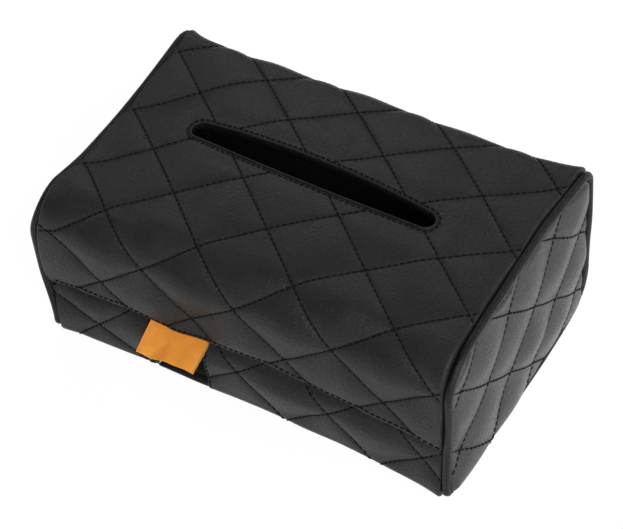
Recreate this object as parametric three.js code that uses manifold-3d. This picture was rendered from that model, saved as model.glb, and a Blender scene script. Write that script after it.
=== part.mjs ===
// Car tissue holder: a soft box of quilted imitation leather with a long dispensing slot in its top.
// One sheet wraps the back, the top and the rounded front edge, and ends in a flap that closes the
// front. The two ends are separate quilted panels with a thick piping round them. Under the flap are
// two low front panels with a finger notch between them, and an orange tag to pull the flap up by.
// Millimetres. X runs along the box, -Y is the front, +Z is up, and the base rests on z = 0.

import * as THREE from 'three';
import { mergeVertices } from 'three/addons/utils/BufferGeometryUtils.js';
import Module from 'manifold-3d';

const wasm = await Module();
wasm.setup();

// The box, measured at the stitched level of the leather
const bodyLength = 230;
const bodyDepth = 137;
const frontHeight = 85;
const backHeight = 96;
const backLean = 3;
const frontBottomRadius = 6;
const frontTopRadius = 21;
const backTopRadius = 7;
const backBottomRadius = 13;
const topCrown = 7.5;

// Layers, from the outside in
const quiltThickness = 2;
const puffHeight = 2.8;
const boardThickness = 1.2;
const liningThickness = 0.6;
const baseLeatherThickness = 1.2;
const tapeThickness = 1;
const clearance = 0.3;

// Quilting of the wrap and of the two low front panels: diamonds with their points across and up
const diamondWidth = 53;
const diamondHeight = 42;
const wrapCrossingX = -106.2;
const wrapCrossingFromBack = 16.8;
const lowerLeftCrossingX = -86;
const lowerLeftCrossingHeight = 14;
const lowerRightCrossingX = -1;
const lowerRightCrossingHeight = 22;
const drawInWidth = 9;

// Quilting of the end panels, cut askew
const endDiamondWidth = 45;
const endDiamondHeight = 41;
const endDiamondRise = 8;
const endCrossingY = -12;
const endCrossingHeight = 30.5;

// Piping
const pipingRadius = 2.3;
const pipingWall = 0.75;
const pipingProud = 1.5;
const pipingSlit = 1.1;

// Dispensing slot
const slotLength = 136;
const slotWidth = 14.5;
const slotEndRadius = 4.6;
const slotCentreX = 0;
const slotCentreY = 3.5;
const bindingWall = 1.6;
const bindingProud = 0.4;

// Front flap, low front panels and the finger notch
const flapEdgeHeight = 34;
const flapOverlap = 14;
const lowerUpright = 11;
const tuckRise = 8;
const lowerTuckRadius = 4;
const lowerLean = 0.6;
const tapeTopMargin = 1;
const notchWidth = 30;
const notchCentreX = -37.5;

// Hook and loop tape
const tapeWidth = 8.5;
const tapeEndMargin = 8;
const tapeNotchMargin = 6;

// Pull tag
const tagWidth = 35;
const tagReach = 19;
const tagThickness = 0.8;
const tagCentreX = -36;
const tagRootHeight = 7;
const tagDroopDegrees = 14;
const tagTurnRadius = 1.6;

// How finely curves are stepped
const arcStepDegrees = 15;
const cellsPerHalfDiamond = 3;
const innerCellsPerOuter = 3;
const crownSteps = 8;
const slotSideSteps = 12;
const slotEndSteps = 6;
const pipingSectionSteps = 10;
const cordSectionSteps = 8;
const stopMergeShare = 0.2;
const valleyShare = 0.2;
const puffSharpness = 0.6;
const cutOverrun = 5;

// A path in the side view: straight runs joined by arcs, with the outside of the box on its left.
class Route {
  constructor(corners) {
    this.pieces = [];
    this.length = 0;
    let from = corners[0];
    for (let i = 1; i < corners.length; i++) {
      const corner = corners[i];
      const heading = Math.atan2(corner.z - corners[i - 1].z, corner.y - corners[i - 1].y);
      let end = corner;
      let turn = 0;
      if (corner.radius > 0 && i < corners.length - 1) {
        const next = corners[i + 1];
        const nextHeading = Math.atan2(next.z - corner.z, next.y - corner.y);
        turn = Math.atan2(Math.sin(nextHeading - heading), Math.cos(nextHeading - heading));
        const tangent = corner.radius * Math.tan(Math.abs(turn) / 2);
        end = { y: corner.y - tangent * Math.cos(heading), z: corner.z - tangent * Math.sin(heading) };
      }
      this.addLine(from, heading, Math.hypot(end.y - from.y, end.z - from.z));
      from = end;
      if (turn !== 0) {
        from = this.addArc(end, heading, corner.radius, turn);
      }
    }
  }

  addLine(from, heading, length) {
    this.pieces.push({ start: this.length, length, from, heading, turn: 0 });
    this.length += length;
  }

  addArc(from, heading, radius, turn) {
    const side = Math.sign(turn);
    const centre = {
      y: from.y - side * radius * Math.sin(heading),
      z: from.z + side * radius * Math.cos(heading),
    };
    const length = radius * Math.abs(turn);
    this.pieces.push({ start: this.length, length, centre, heading, radius, turn, side });
    this.length += length;
    const end = heading + turn;
    return { y: centre.y + side * radius * Math.sin(end), z: centre.z - side * radius * Math.cos(end) };
  }

  // The point at a distance along the route, moved inwards by a depth, with the outward direction.
  at(distance, depth = 0) {
    const last = this.pieces.length - 1;
    const piece = this.pieces.find((p, i) => i === last || distance < p.start + p.length);
    const along = distance - piece.start;
    let heading = piece.heading;
    let y;
    let z;
    if (piece.turn === 0) {
      y = piece.from.y + along * Math.cos(heading);
      z = piece.from.z + along * Math.sin(heading);
    } else {
      heading += piece.side * along / piece.radius;
      y = piece.centre.y + piece.side * piece.radius * Math.sin(heading);
      z = piece.centre.z - piece.side * piece.radius * Math.cos(heading);
    }
    const outY = -Math.sin(heading);
    const outZ = Math.cos(heading);
    return { y: y - depth * outY, z: z - depth * outZ, outY, outZ };
  }

  // Where each straight run and arc ends, between two distances.
  joints(start, end) {
    const inner = this.pieces.map((p) => p.start).filter((s) => s > start && s < end);
    return [start, ...inner, end];
  }

  // The same, with the arcs stepped.
  stops(start, end) {
    const step = THREE.MathUtils.degToRad(arcStepDegrees);
    const found = [start, end];
    for (const piece of this.pieces) {
      const count = Math.max(1, Math.ceil(Math.abs(piece.turn) / step));
      for (let i = 0; i < count; i++) {
        const stop = piece.start + piece.length * i / count;
        if (stop > start && stop < end) {
          found.push(stop);
        }
      }
    }
    return found.sort((a, b) => a - b);
  }
}

// Stops at even pitch from a phase, joined to stops that must be there.
function mergedStops(fixed, phase, pitch) {
  const start = fixed[0];
  const end = fixed[fixed.length - 1];
  const least = pitch * stopMergeShare;
  const stops = [...fixed];
  for (let n = Math.ceil((start - phase) / pitch); phase + n * pitch < end; n++) {
    const stop = phase + n * pitch;
    if (fixed.every((f) => Math.abs(f - stop) > least)) {
      stops.push(stop);
    }
  }
  return stops.sort((a, b) => a - b);
}

function evenStops(start, end, steps) {
  return Array.from({ length: steps + 1 }, (_, i) => start + (end - start) * i / steps);
}

// How far a diamond quilt stands above its stitches, at a place counted in diamonds.
function quiltShape(across, up) {
  const first = Math.abs(Math.sin(Math.PI * (across - up)));
  const second = Math.abs(Math.sin(Math.PI * (across + up)));
  return Math.pow(first * second, puffSharpness);
}

function drawnIn(distance) {
  return Math.sin(Math.PI / 2 * THREE.MathUtils.clamp(distance / drawInWidth, 0, 1));
}

function geometryFrom(points, triangles) {
  const geometry = new THREE.BufferGeometry();
  geometry.setAttribute('position', new THREE.Float32BufferAttribute(points.flat(), 3));
  geometry.setIndex(triangles.flat());
  return geometry;
}

// A sheet from its outer and inner surfaces: two functions of a place in a grid of across and along
// stops. The inner surface is smoother, so it takes only some of the across stops.
function sheetFrom(acrossCount, alongCount, outer, inner, heightAt, innerStep = acrossCount) {
  const points = [];
  const triangles = [];
  const add = (point) => points.push(point) - 1;
  const last = acrossCount - 1;
  const end = alongCount - 1;
  const top = [];
  const under = [];
  const columns = [];
  for (let a = 0; a < acrossCount; a++) {
    top.push([]);
    under.push([]);
    for (let b = 0; b < alongCount; b++) {
      top[a].push(add(outer(a, b)));
    }
    if (a === last || a % innerStep === 0) {
      columns.push(a);
      for (let b = 0; b < alongCount; b++) {
        under[a].push(add(inner(a, b)));
      }
    }
  }
  const near = under[0];
  const far = under[last];
  for (let b = 0; b < end; b++) {
    for (let a = 0; a < last; a++) {
      const rising = heightAt(a, b) + heightAt(a + 1, b + 1);
      const falling = heightAt(a + 1, b) + heightAt(a, b + 1);
      const onStitch = Math.min(rising, falling) < puffHeight * valleyShare;
      const useRising = onStitch ? rising <= falling : rising > falling;
      const [p, q, r, s] = [top[a][b], top[a + 1][b], top[a + 1][b + 1], top[a][b + 1]];
      triangles.push(...(useRising ? [[p, q, r], [p, r, s]] : [[p, q, s], [q, r, s]]));
    }
    triangles.push([top[0][b], top[0][b + 1], near[b + 1]], [top[0][b], near[b + 1], near[b]]);
    triangles.push([top[last][b], far[b + 1], top[last][b + 1]], [top[last][b], far[b], far[b + 1]]);
  }
  for (let i = 1; i < columns.length; i++) {
    const [from, to] = [columns[i - 1], columns[i]];
    const [low, high] = [under[from], under[to]];
    for (let b = 0; b < end; b++) {
      triangles.push([low[b], low[b + 1], high[b + 1]], [low[b], high[b + 1], high[b]]);
    }
    for (let a = from; a < to; a++) {
      triangles.push([low[0], top[a + 1][0], top[a][0]], [low[end], top[a][end], top[a + 1][end]]);
    }
    triangles.push([low[0], high[0], top[to][0]], [low[end], top[to][end], high[end]]);
  }
  return geometryFrom(points, triangles);
}

// A sheet bent along a route, plain or quilted up to where its quilting ends. It is flat where it
// rests, and a crowned one also swells with the top.
function bentSheet(sheet) {
  const { route, from, to, start, end, depth, thickness, crossing, crowned = false } = sheet;
  const { quiltEnd = end } = sheet;
  const halfWidth = diamondWidth / 2;
  const halfHeight = diamondHeight / 2;
  let acrossStops = [from, to];
  let alongStops = route.stops(start, end);
  if (crossing) {
    acrossStops = mergedStops(acrossStops, crossing.x, halfWidth / cellsPerHalfDiamond);
    alongStops = mergedStops(route.joints(start, end), crossing.along, halfHeight / cellsPerHalfDiamond);
  } else if (crowned) {
    acrossStops = evenStops(from, to, crownSteps);
    const onTop = evenStops(foldAlong, topRunEnd, crownSteps).filter((s) => s > start && s < end);
    alongStops = [...new Set([...alongStops, ...onTop])].sort((a, b) => a - b);
  }
  const heightAt = (a, b) => {
    if (!crossing) {
      return 0;
    }
    const x = acrossStops[a];
    const s = alongStops[b];
    const edge = drawnIn(Math.min(x - from, to - x)) * drawnIn(Math.min(s - start, quiltEnd - s));
    const across = (x - crossing.x) / diamondWidth;
    const up = (s - crossing.along) / diamondHeight;
    return puffHeight * edge * quiltShape(across, up);
  };
  const place = (a, b, inward) => {
    const p = route.at(alongStops[b], inward);
    const rise = crowned ? crownAt(acrossStops[a], alongStops[b]) : 0;
    const y = p.y - rise * Math.sin(topAngle);
    const z = p.z + rise * Math.cos(topAngle);
    return [acrossStops[a], y, Math.max(z, 0)];
  };
  return sheetFrom(
    acrossStops.length,
    alongStops.length,
    (a, b) => place(a, b, depth - heightAt(a, b)),
    (a, b) => place(a, b, depth + thickness),
    heightAt,
    crowned ? (crossing ? innerCellsPerOuter : 1) : undefined,
  );
}

// A tube of any closed section round a closed route. The section is in steps outwards along the
// box, and outwards from the route.
function ringOnRoute(route, section, centreX) {
  const stops = route.stops(0, route.length);
  stops.pop();
  const points = [];
  const triangles = [];
  for (const stop of stops) {
    const p = route.at(stop);
    for (const [outX, out] of section) {
      points.push([centreX + outX, p.y + p.outY * out, p.z + p.outZ * out]);
    }
  }
  const around = section.length;
  for (let b = 0; b < stops.length; b++) {
    const next = (b + 1) % stops.length;
    for (let k = 0; k < around; k++) {
      const after = (k + 1) % around;
      const p = b * around + k;
      const q = b * around + after;
      const r = next * around + after;
      const s = next * around + k;
      triangles.push([p, r, q], [p, s, r]);
    }
  }
  return geometryFrom(points, triangles);
}

function mergedGeometry(geometry) {
  const bare = geometry.clone();
  bare.deleteAttribute('normal');
  bare.deleteAttribute('uv');
  return mergeVertices(bare);
}

function solidOf(geometry) {
  const merged = mergedGeometry(geometry);
  return new wasm.Manifold(new wasm.Mesh({
    numProp: 3,
    vertProperties: merged.attributes.position.array,
    triVerts: Uint32Array.from(merged.index.array),
  }));
}

function geometryOf(solid) {
  const mesh = solid.getMesh();
  const geometry = new THREE.BufferGeometry();
  geometry.setAttribute('position', new THREE.BufferAttribute(mesh.vertProperties, 3));
  geometry.setIndex(new THREE.BufferAttribute(mesh.triVerts, 1));
  return geometry;
}

function without(geometry, ...cutters) {
  return geometryOf(cutters.reduce((solid, cutter) => solid.subtract(solidOf(cutter)), solidOf(geometry)));
}

function box(lowX, highX, lowY, highY, lowZ, highZ) {
  const geometry = new THREE.BoxGeometry(highX - lowX, highY - lowY, highZ - lowZ);
  return geometry.translate((lowX + highX) / 2, (lowY + highY) / 2, (lowZ + highZ) / 2);
}

// A side-view outline made into a plate between two places along the box.
function sidePlate(outline, lowX, highX) {
  const shape = new THREE.Shape(outline.map((p) => new THREE.Vector2(p.y, p.z)));
  const plate = new THREE.ExtrudeGeometry(shape, { depth: highX - lowX, bevelEnabled: false });
  const turn = new THREE.Matrix4().makeBasis(
    new THREE.Vector3(0, 1, 0),
    new THREE.Vector3(0, 0, 1),
    new THREE.Vector3(1, 0, 0),
  );
  return plate.applyMatrix4(turn).translate(lowX, 0, 0);
}

function mirroredAlongBox(geometry) {
  const copy = mergedGeometry(geometry);
  copy.scale(-1, 1, 1);
  const index = copy.index.array;
  for (let i = 0; i < index.length; i += 3) {
    [index[i], index[i + 1]] = [index[i + 1], index[i]];
  }
  return copy;
}

// The outline of the box in the side view, starting and ending in the middle of the base
const boxRoute = new Route([
  { y: 0, z: 0 },
  { y: -bodyDepth / 2, z: 0, radius: frontBottomRadius },
  { y: -bodyDepth / 2, z: frontHeight, radius: frontTopRadius },
  { y: bodyDepth / 2 - backLean, z: backHeight, radius: backTopRadius },
  { y: bodyDepth / 2, z: 0, radius: backBottomRadius },
  { y: 0, z: 0 },
]);
const pipingDepth = pipingRadius - pipingProud;
const pipingRoute = new Route([
  { y: 0, z: pipingRadius },
  { y: -bodyDepth / 2 + pipingDepth, z: pipingRadius, radius: frontBottomRadius },
  { y: -bodyDepth / 2 + pipingDepth, z: frontHeight - pipingDepth, radius: frontTopRadius },
  { y: bodyDepth / 2 - backLean - pipingDepth, z: backHeight - pipingDepth, radius: backTopRadius },
  { y: bodyDepth / 2 - pipingDepth, z: pipingRadius, radius: backBottomRadius },
  { y: 0, z: pipingRadius },
]);
const [, , , frontTopArc, topRun, backTopArc, backRun, , backBaseRun] = boxRoute.pieces;
const foldAlong = topRun.start;
const topRunEnd = backTopArc.start;
const backRunEnd = backRun.start + backRun.length;
const wrapEnd = backBaseRun.start;
const topAngle = topRun.heading;
const flapEdgeAlong = frontTopArc.start - (boxRoute.at(frontTopArc.start).z - flapEdgeHeight);
const heightAlong = (height) => flapEdgeAlong - (flapEdgeHeight - height);

// Across the box: the wrap ends at the piping, the end panel closes it, boards and lining stand inside
const pipingCentreX = bodyLength / 2 - pipingRadius;
const wrapHalf = bodyLength / 2 - 2 * pipingRadius - clearance;
const endPanelInner = wrapHalf - quiltThickness;
const endBoardOuter = endPanelInner - clearance;
const endBoardInner = endBoardOuter - boardThickness;
const endLiningOuter = endBoardInner - clearance;
const endLiningInner = endLiningOuter - liningThickness;
const boardHalf = endBoardInner - clearance;
const insideHalf = endLiningInner - clearance;

const boardDepth = quiltThickness + clearance;
const liningDepth = boardDepth + boardThickness + clearance;
const flapLiningDepth = quiltThickness + clearance;
const loopTapeDepth = flapLiningDepth + liningThickness + clearance;
const hookTapeDepth = loopTapeDepth + tapeThickness + clearance;
const lowerTopDepth = hookTapeDepth + tapeThickness + clearance;

// The main panel: back, top and the start of the front edge, with the slot cut through it
const backTopTangent = backTopRadius * Math.tan(Math.abs(backTopArc.turn) / 2);
const wrapCrossing = { x: wrapCrossingX, along: topRunEnd + backTopTangent - wrapCrossingFromBack };
const slotAlong = foldAlong + (slotCentreY - boxRoute.at(foldAlong).y) / Math.cos(topAngle);
const slotCentre = boxRoute.at(slotAlong);

// How far the soft top swells above its edges.
function crownAt(x, along) {
  const across = THREE.MathUtils.clamp(x / wrapHalf, -1, 1);
  const middle = THREE.MathUtils.clamp(2 * (along - foldAlong) / topRun.length - 1, -1, 1);
  return topCrown * (1 - across ** 2) * (1 - middle ** 2);
}

// A lens with round ends, grown outwards by a margin
function slotOutline(grow) {
  const halfStraight = slotLength / 2 - slotEndRadius;
  const bulge = slotWidth / 2 - slotEndRadius;
  const points = [];
  for (const side of [1, -1]) {
    for (let i = 0; i <= slotSideSteps; i++) {
      const x = side * halfStraight * (1 - 2 * i / slotSideSteps);
      const y = side * (slotEndRadius + grow + bulge * (1 - (x / halfStraight) ** 2));
      points.push(new THREE.Vector2(x, y));
    }
    for (let i = 1; i < slotEndSteps; i++) {
      const angle = Math.PI * i / slotEndSteps;
      const reach = slotEndRadius + grow;
      const x = -side * (halfStraight + reach * Math.sin(angle));
      points.push(new THREE.Vector2(x, side * reach * Math.cos(angle)));
    }
  }
  return points;
}

// Stands a shape drawn on the top up through the top, from one depth to another.
function throughTop(shape, fromDepth, toDepth) {
  const prism = new THREE.ExtrudeGeometry(shape, { depth: toDepth - fromDepth, bevelEnabled: false });
  prism.translate(0, 0, -toDepth);
  prism.rotateX(topAngle);
  return prism.translate(slotCentreX, slotCentre.y, slotCentre.z);
}

// Lifts each point of a shape in the top by the crown there.
function withCrown(geometry) {
  const fold = boxRoute.at(foldAlong);
  const position = geometry.attributes.position;
  for (let i = 0; i < position.count; i++) {
    const fromFoldY = position.getY(i) - fold.y;
    const fromFoldZ = position.getZ(i) - fold.z;
    const along = foldAlong + fromFoldY * Math.cos(topAngle) + fromFoldZ * Math.sin(topAngle);
    const rise = crownAt(position.getX(i), along);
    position.setY(i, position.getY(i) - rise * Math.sin(topAngle));
    position.setZ(i, position.getZ(i) + rise * Math.cos(topAngle));
  }
  return geometry;
}

const slotHole = () => throughTop(
  new THREE.Shape(slotOutline(bindingWall + clearance)),
  -topCrown - puffHeight - cutOverrun,
  liningDepth + liningThickness + cutOverrun,
);

const mainPanel = without(
  bentSheet({
    route: boxRoute,
    from: -wrapHalf,
    to: wrapHalf,
    start: foldAlong + clearance / 2,
    end: wrapEnd,
    depth: 0,
    thickness: quiltThickness,
    crossing: wrapCrossing,
    crowned: true,
  }),
  slotHole(),
);

const bindingShape = new THREE.Shape(slotOutline(bindingWall));
bindingShape.holes.push(new THREE.Path(slotOutline(0).reverse()));
const bindingDepth = liningDepth + liningThickness + bindingProud;
const slotBinding = withCrown(throughTop(bindingShape, -bindingProud, bindingDepth));

const topBoard = without(
  bentSheet({
    route: boxRoute,
    from: -boardHalf,
    to: boardHalf,
    start: foldAlong + clearance,
    end: topRunEnd - clearance,
    depth: boardDepth,
    thickness: boardThickness,
    crowned: true,
  }),
  slotHole(),
);

const backBoard = bentSheet({
  route: boxRoute,
  from: -boardHalf,
  to: boardHalf,
  start: backRun.start + clearance,
  end: backRunEnd - clearance,
  depth: boardDepth,
  thickness: boardThickness,
});

const bodyLining = without(
  bentSheet({
    route: boxRoute,
    from: -boardHalf,
    to: boardHalf,
    start: foldAlong + clearance,
    end: wrapEnd,
    depth: liningDepth,
    thickness: liningThickness,
    crowned: true,
  }),
  slotHole(),
);

// The front flap: the rest of the front rounding and the face below it, down to its free edge
const flapRun = { route: boxRoute, start: flapEdgeAlong, end: foldAlong - clearance / 2 };
const frontFlap = bentSheet({
  ...flapRun,
  from: -wrapHalf,
  to: wrapHalf,
  depth: 0,
  thickness: quiltThickness,
  crossing: wrapCrossing,
});
const flapLining = bentSheet({
  ...flapRun,
  from: -boardHalf,
  to: boardHalf,
  depth: flapLiningDepth,
  thickness: liningThickness,
});

// The low front panels rise from the base, and tuck in behind the flap's edge.
const lowerTopHeight = flapEdgeHeight + flapOverlap;
const lowerTuckEnd = lowerTopHeight - lowerUpright;
const lowerTuckStart = lowerTuckEnd - tuckRise;
const frontY = -bodyDepth / 2;
const lowerBack = frontY + lowerTopDepth;
const lowerRoute = new Route([
  { y: 0, z: 0 },
  { y: frontY, z: 0, radius: frontBottomRadius },
  { y: frontY + lowerLean, z: lowerTuckStart, radius: lowerTuckRadius },
  { y: lowerBack, z: lowerTuckEnd, radius: lowerTuckRadius },
  { y: lowerBack, z: lowerTopHeight },
]);
const lowerStart = lowerRoute.pieces[1].start;
const lowerRiseStart = lowerRoute.pieces[2].start;
const lowerTuckAlong = lowerRoute.pieces[4].start;
const lowerHeightAlong = (height) => lowerRoute.length - (lowerTopHeight - height);
const lowerCrossingAlong = (height) => lowerRiseStart + height - lowerRoute.at(lowerRiseStart).z;
const notchLow = notchCentreX - notchWidth / 2;
const notchHigh = notchCentreX + notchWidth / 2;
const lowerCornerCut = lowerRoute.at(lowerRoute.pieces[3].start).z;

// Above the tuck the panel stands between the end panels, so its outer corners are cut away.
function lowerPanel(from, to, crossing) {
  const sheet = bentSheet({
    route: lowerRoute,
    from,
    to,
    start: lowerStart,
    end: lowerRoute.length,
    depth: 0,
    thickness: quiltThickness,
    crossing,
    quiltEnd: lowerTuckAlong,
  });
  const low = [frontY - cutOverrun, 0, lowerCornerCut, lowerTopHeight + cutOverrun];
  return without(
    sheet,
    box(endPanelInner - clearance, wrapHalf + cutOverrun, ...low),
    box(-wrapHalf - cutOverrun, clearance - endPanelInner, ...low),
  );
}

function lowerLining(from, to) {
  return bentSheet({
    route: lowerRoute,
    from,
    to,
    start: lowerRiseStart + frontBottomRadius,
    end: lowerRoute.length,
    depth: quiltThickness + clearance,
    thickness: liningThickness,
  });
}

const lowerLeft = lowerPanel(-wrapHalf, notchLow, {
  x: lowerLeftCrossingX,
  along: lowerCrossingAlong(lowerLeftCrossingHeight),
});
const lowerRight = lowerPanel(notchHigh, wrapHalf, {
  x: lowerRightCrossingX,
  along: lowerCrossingAlong(lowerRightCrossingHeight),
});
const lowerLiningLeft = lowerLining(-insideHalf, notchLow);
const lowerLiningRight = lowerLining(notchHigh, insideHalf);

// Hook tape on the low panels and loop tape behind the flap, in line on either side of the notch
const tapeMiddle = lowerTopHeight - tapeTopMargin - tapeWidth / 2;
const tapeSpans = {
  left: [-insideHalf + tapeEndMargin, notchLow - tapeNotchMargin],
  right: [notchHigh + tapeNotchMargin, insideHalf - tapeEndMargin],
};
function hookTape([from, to]) {
  return bentSheet({
    route: lowerRoute,
    from,
    to,
    start: lowerHeightAlong(tapeMiddle - tapeWidth / 2),
    end: lowerHeightAlong(tapeMiddle + tapeWidth / 2),
    depth: -clearance - tapeThickness,
    thickness: tapeThickness,
  });
}
function loopTape([from, to]) {
  return bentSheet({
    route: boxRoute,
    from,
    to,
    start: heightAlong(tapeMiddle - tapeWidth / 2),
    end: heightAlong(tapeMiddle + tapeWidth / 2),
    depth: loopTapeDepth,
    thickness: tapeThickness,
  });
}

// The tag: a folded ribbon held behind the flap's lining, turned out under the flap's edge
const tagDroop = THREE.MathUtils.degToRad(tagDroopDegrees);
const tagTop = flapEdgeHeight - clearance;
const tagRootY = frontY + loopTapeDepth;
const tagRoute = new Route([
  { y: frontY - tagReach * Math.cos(tagDroop), z: tagTop - (tagReach + loopTapeDepth) * Math.sin(tagDroop) },
  { y: tagRootY, z: tagTop, radius: tagTurnRadius },
  { y: tagRootY, z: tagTop + tagRootHeight },
]);
const pullTag = bentSheet({
  route: tagRoute,
  from: tagCentreX - tagWidth / 2,
  to: tagCentreX + tagWidth / 2,
  start: 0,
  end: tagRoute.length,
  depth: 0,
  thickness: tagThickness,
});

// The base: leather that the box rests on, with a tongue across the foot of the notch, and on it a
// board and a lining, between the front and back panels
const baseFront = lowerRoute.at(lowerStart).y + clearance;
const baseBack = boxRoute.at(wrapEnd).y - clearance;
const baseShape = new THREE.Shape([
  [-wrapHalf, baseFront],
  [notchLow + clearance, baseFront],
  [notchLow + clearance, frontY + lowerLean],
  [notchHigh - clearance, frontY + lowerLean],
  [notchHigh - clearance, baseFront],
  [wrapHalf, baseFront],
  [wrapHalf, baseBack],
  [-wrapHalf, baseBack],
].map(([x, y]) => new THREE.Vector2(x, y)));
const basePanel = new THREE.ExtrudeGeometry(baseShape, { depth: baseLeatherThickness, bevelEnabled: false });
const baseBoardLow = baseLeatherThickness + clearance;
const baseBoardHigh = baseBoardLow + boardThickness;
const baseBoard = box(-boardHalf, boardHalf, baseFront, baseBack, baseBoardLow, baseBoardHigh);
const baseLiningLow = baseBoardHigh + clearance;
const baseLining = box(
  -boardHalf,
  boardHalf,
  baseFront,
  baseBack,
  baseLiningLow,
  baseLiningLow + liningThickness,
);

// The ends: a quilted panel inside the piping, a board and a lining behind it
const outlineOf = (route, depth) => route.stops(0, route.length).slice(1).map((s) => route.at(s, depth));
const endEdge = outlineOf(pipingRoute, pipingRadius + clearance);

// The boards and linings of the ends stop behind the low front panels, which tuck in before them.
const innerFront = frontY + lowerTopDepth + quiltThickness;
function insideEnd(depth) {
  return outlineOf(new Route([
    { y: 0, z: 0 },
    { y: innerFront - depth + clearance, z: 0, radius: frontBottomRadius },
    { y: innerFront - depth + clearance, z: frontHeight, radius: frontTopRadius },
    { y: bodyDepth / 2 - backLean, z: backHeight, radius: backTopRadius },
    { y: bodyDepth / 2, z: 0, radius: backBottomRadius },
    { y: 0, z: 0 },
  ]), depth);
}

function distanceInside(y, z) {
  let least = Infinity;
  let crossings = 0;
  endEdge.forEach((p, i) => {
    const q = endEdge[(i + 1) % endEdge.length];
    const alongY = q.y - p.y;
    const alongZ = q.z - p.z;
    const share = ((y - p.y) * alongY + (z - p.z) * alongZ) / (alongY ** 2 + alongZ ** 2);
    const held = THREE.MathUtils.clamp(share, 0, 1);
    least = Math.min(least, Math.hypot(y - p.y - held * alongY, z - p.z - held * alongZ));
    if (p.z > z !== q.z > z && y < p.y + (z - p.z) * alongY / alongZ) {
      crossings++;
    }
  });
  return crossings % 2 === 1 ? least : 0;
}

function quiltedEndPanel() {
  const cells = 2 * cellsPerHalfDiamond;
  const across = Math.ceil(bodyDepth / endDiamondWidth) * cells;
  const up = Math.ceil(backHeight / endDiamondHeight + 1) * cells;
  const place = (a, b) => {
    const turnsAcross = (a - across) / cells;
    const turnsUp = (b - up) / cells;
    return {
      y: endCrossingY + turnsAcross * endDiamondWidth,
      z: endCrossingHeight + turnsUp * endDiamondHeight + turnsAcross * endDiamondRise,
      shape: quiltShape(turnsAcross, turnsUp),
    };
  };
  const heightAt = (a, b) => {
    const p = place(a, b);
    return puffHeight * p.shape * drawnIn(distanceInside(p.y, p.z));
  };
  const slab = sheetFrom(
    2 * across + 1,
    2 * up + 1,
    (a, b) => [wrapHalf + heightAt(a, b), place(a, b).y, place(a, b).z],
    (a, b) => [endPanelInner, place(a, b).y, place(a, b).z],
    heightAt,
  );
  const outline = sidePlate(endEdge, endPanelInner - cutOverrun, wrapHalf + puffHeight + cutOverrun);
  return geometryOf(solidOf(slab).intersect(solidOf(outline)));
}

const endPanel = quiltedEndPanel();
const insideDepth = liningDepth + liningThickness + clearance;
const endBoard = sidePlate(insideEnd(insideDepth), endBoardInner, endBoardOuter);
const endLining = sidePlate(insideEnd(insideDepth), endLiningInner, endLiningOuter);

// The piping: a leather cover, open along its seam towards the inside of the box, round a cord
function arcSection(radius, from, to, steps) {
  const points = [];
  for (let i = 0; i <= steps; i++) {
    const angle = from + (to - from) * i / steps;
    points.push([radius * Math.cos(angle), radius * Math.sin(angle)]);
  }
  return points;
}
const seamDirection = -3 * Math.PI / 4;
const halfSlit = Math.asin(pipingSlit / 2 / pipingRadius);
const openFrom = seamDirection + halfSlit;
const openTo = seamDirection + 2 * Math.PI - halfSlit;
const pipingBore = pipingRadius - pipingWall;
const coverSection = [
  ...arcSection(pipingRadius, openFrom, openTo, pipingSectionSteps),
  ...arcSection(pipingBore, openTo, openFrom, pipingSectionSteps),
];
const cordSection = arcSection(pipingBore - clearance, 0, 2 * Math.PI, cordSectionSteps).slice(1);
const piping = ringOnRoute(pipingRoute, coverSection, pipingCentreX);
const pipingCord = ringOnRoute(pipingRoute, cordSection, pipingCentreX);

// Materials
function finish(color, roughness) {
  return new THREE.MeshStandardMaterial({ color, roughness, metalness: 0 });
}
const leather = finish(0x2c2d2f, 0.55);
const pipingLeather = finish(0x3a3b3d, 0.45);
const plainLeather = finish(0x252628, 0.6);
const board = finish(0x8d8478, 0.9);
const lining = finish(0x19191b, 0.85);
const cord = finish(0xd8d4cb, 0.8);
const tape = finish(0x151517, 0.95);
const tagRibbon = finish(0xe88b24, 0.5);

const holder = new THREE.Group();
function addPiece(name, geometry, material) {
  const mesh = new THREE.Mesh(geometry, material);
  mesh.name = name;
  holder.add(mesh);
}

addPiece('main_panel', mainPanel, leather);
addPiece('front_flap', frontFlap, leather);
addPiece('lower_front_left', lowerLeft, leather);
addPiece('lower_front_right', lowerRight, leather);
addPiece('base_panel', basePanel, plainLeather);
addPiece('slot_binding', slotBinding, pipingLeather);
addPiece('pull_tag', pullTag, tagRibbon);
addPiece('top_board', topBoard, board);
addPiece('back_board', backBoard, board);
addPiece('base_board', baseBoard, board);
addPiece('body_lining', bodyLining, lining);
addPiece('flap_lining', flapLining, lining);
addPiece('base_lining', baseLining, lining);
addPiece('lower_lining_left', lowerLiningLeft, lining);
addPiece('lower_lining_right', lowerLiningRight, lining);
addPiece('hook_tape_left', hookTape(tapeSpans.left), tape);
addPiece('hook_tape_right', hookTape(tapeSpans.right), tape);
addPiece('loop_tape_left', loopTape(tapeSpans.left), tape);
addPiece('loop_tape_right', loopTape(tapeSpans.right), tape);

// The end pieces are made for the right end, and mirrored for the left.
const endPieces = [
  ['end_panel', endPanel, leather],
  ['end_board', endBoard, board],
  ['end_lining', endLining, lining],
  ['piping', piping, pipingLeather],
  ['piping_cord', pipingCord, cord],
];
for (const [name, geometry, material] of endPieces) {
  addPiece(`${name}_right`, geometry, material);
  addPiece(`${name}_left`, mirroredAlongBox(geometry), material);
}

export default holder;
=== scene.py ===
import math

import bpy
import numpy as np
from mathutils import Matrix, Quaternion, Vector, geometry


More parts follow.
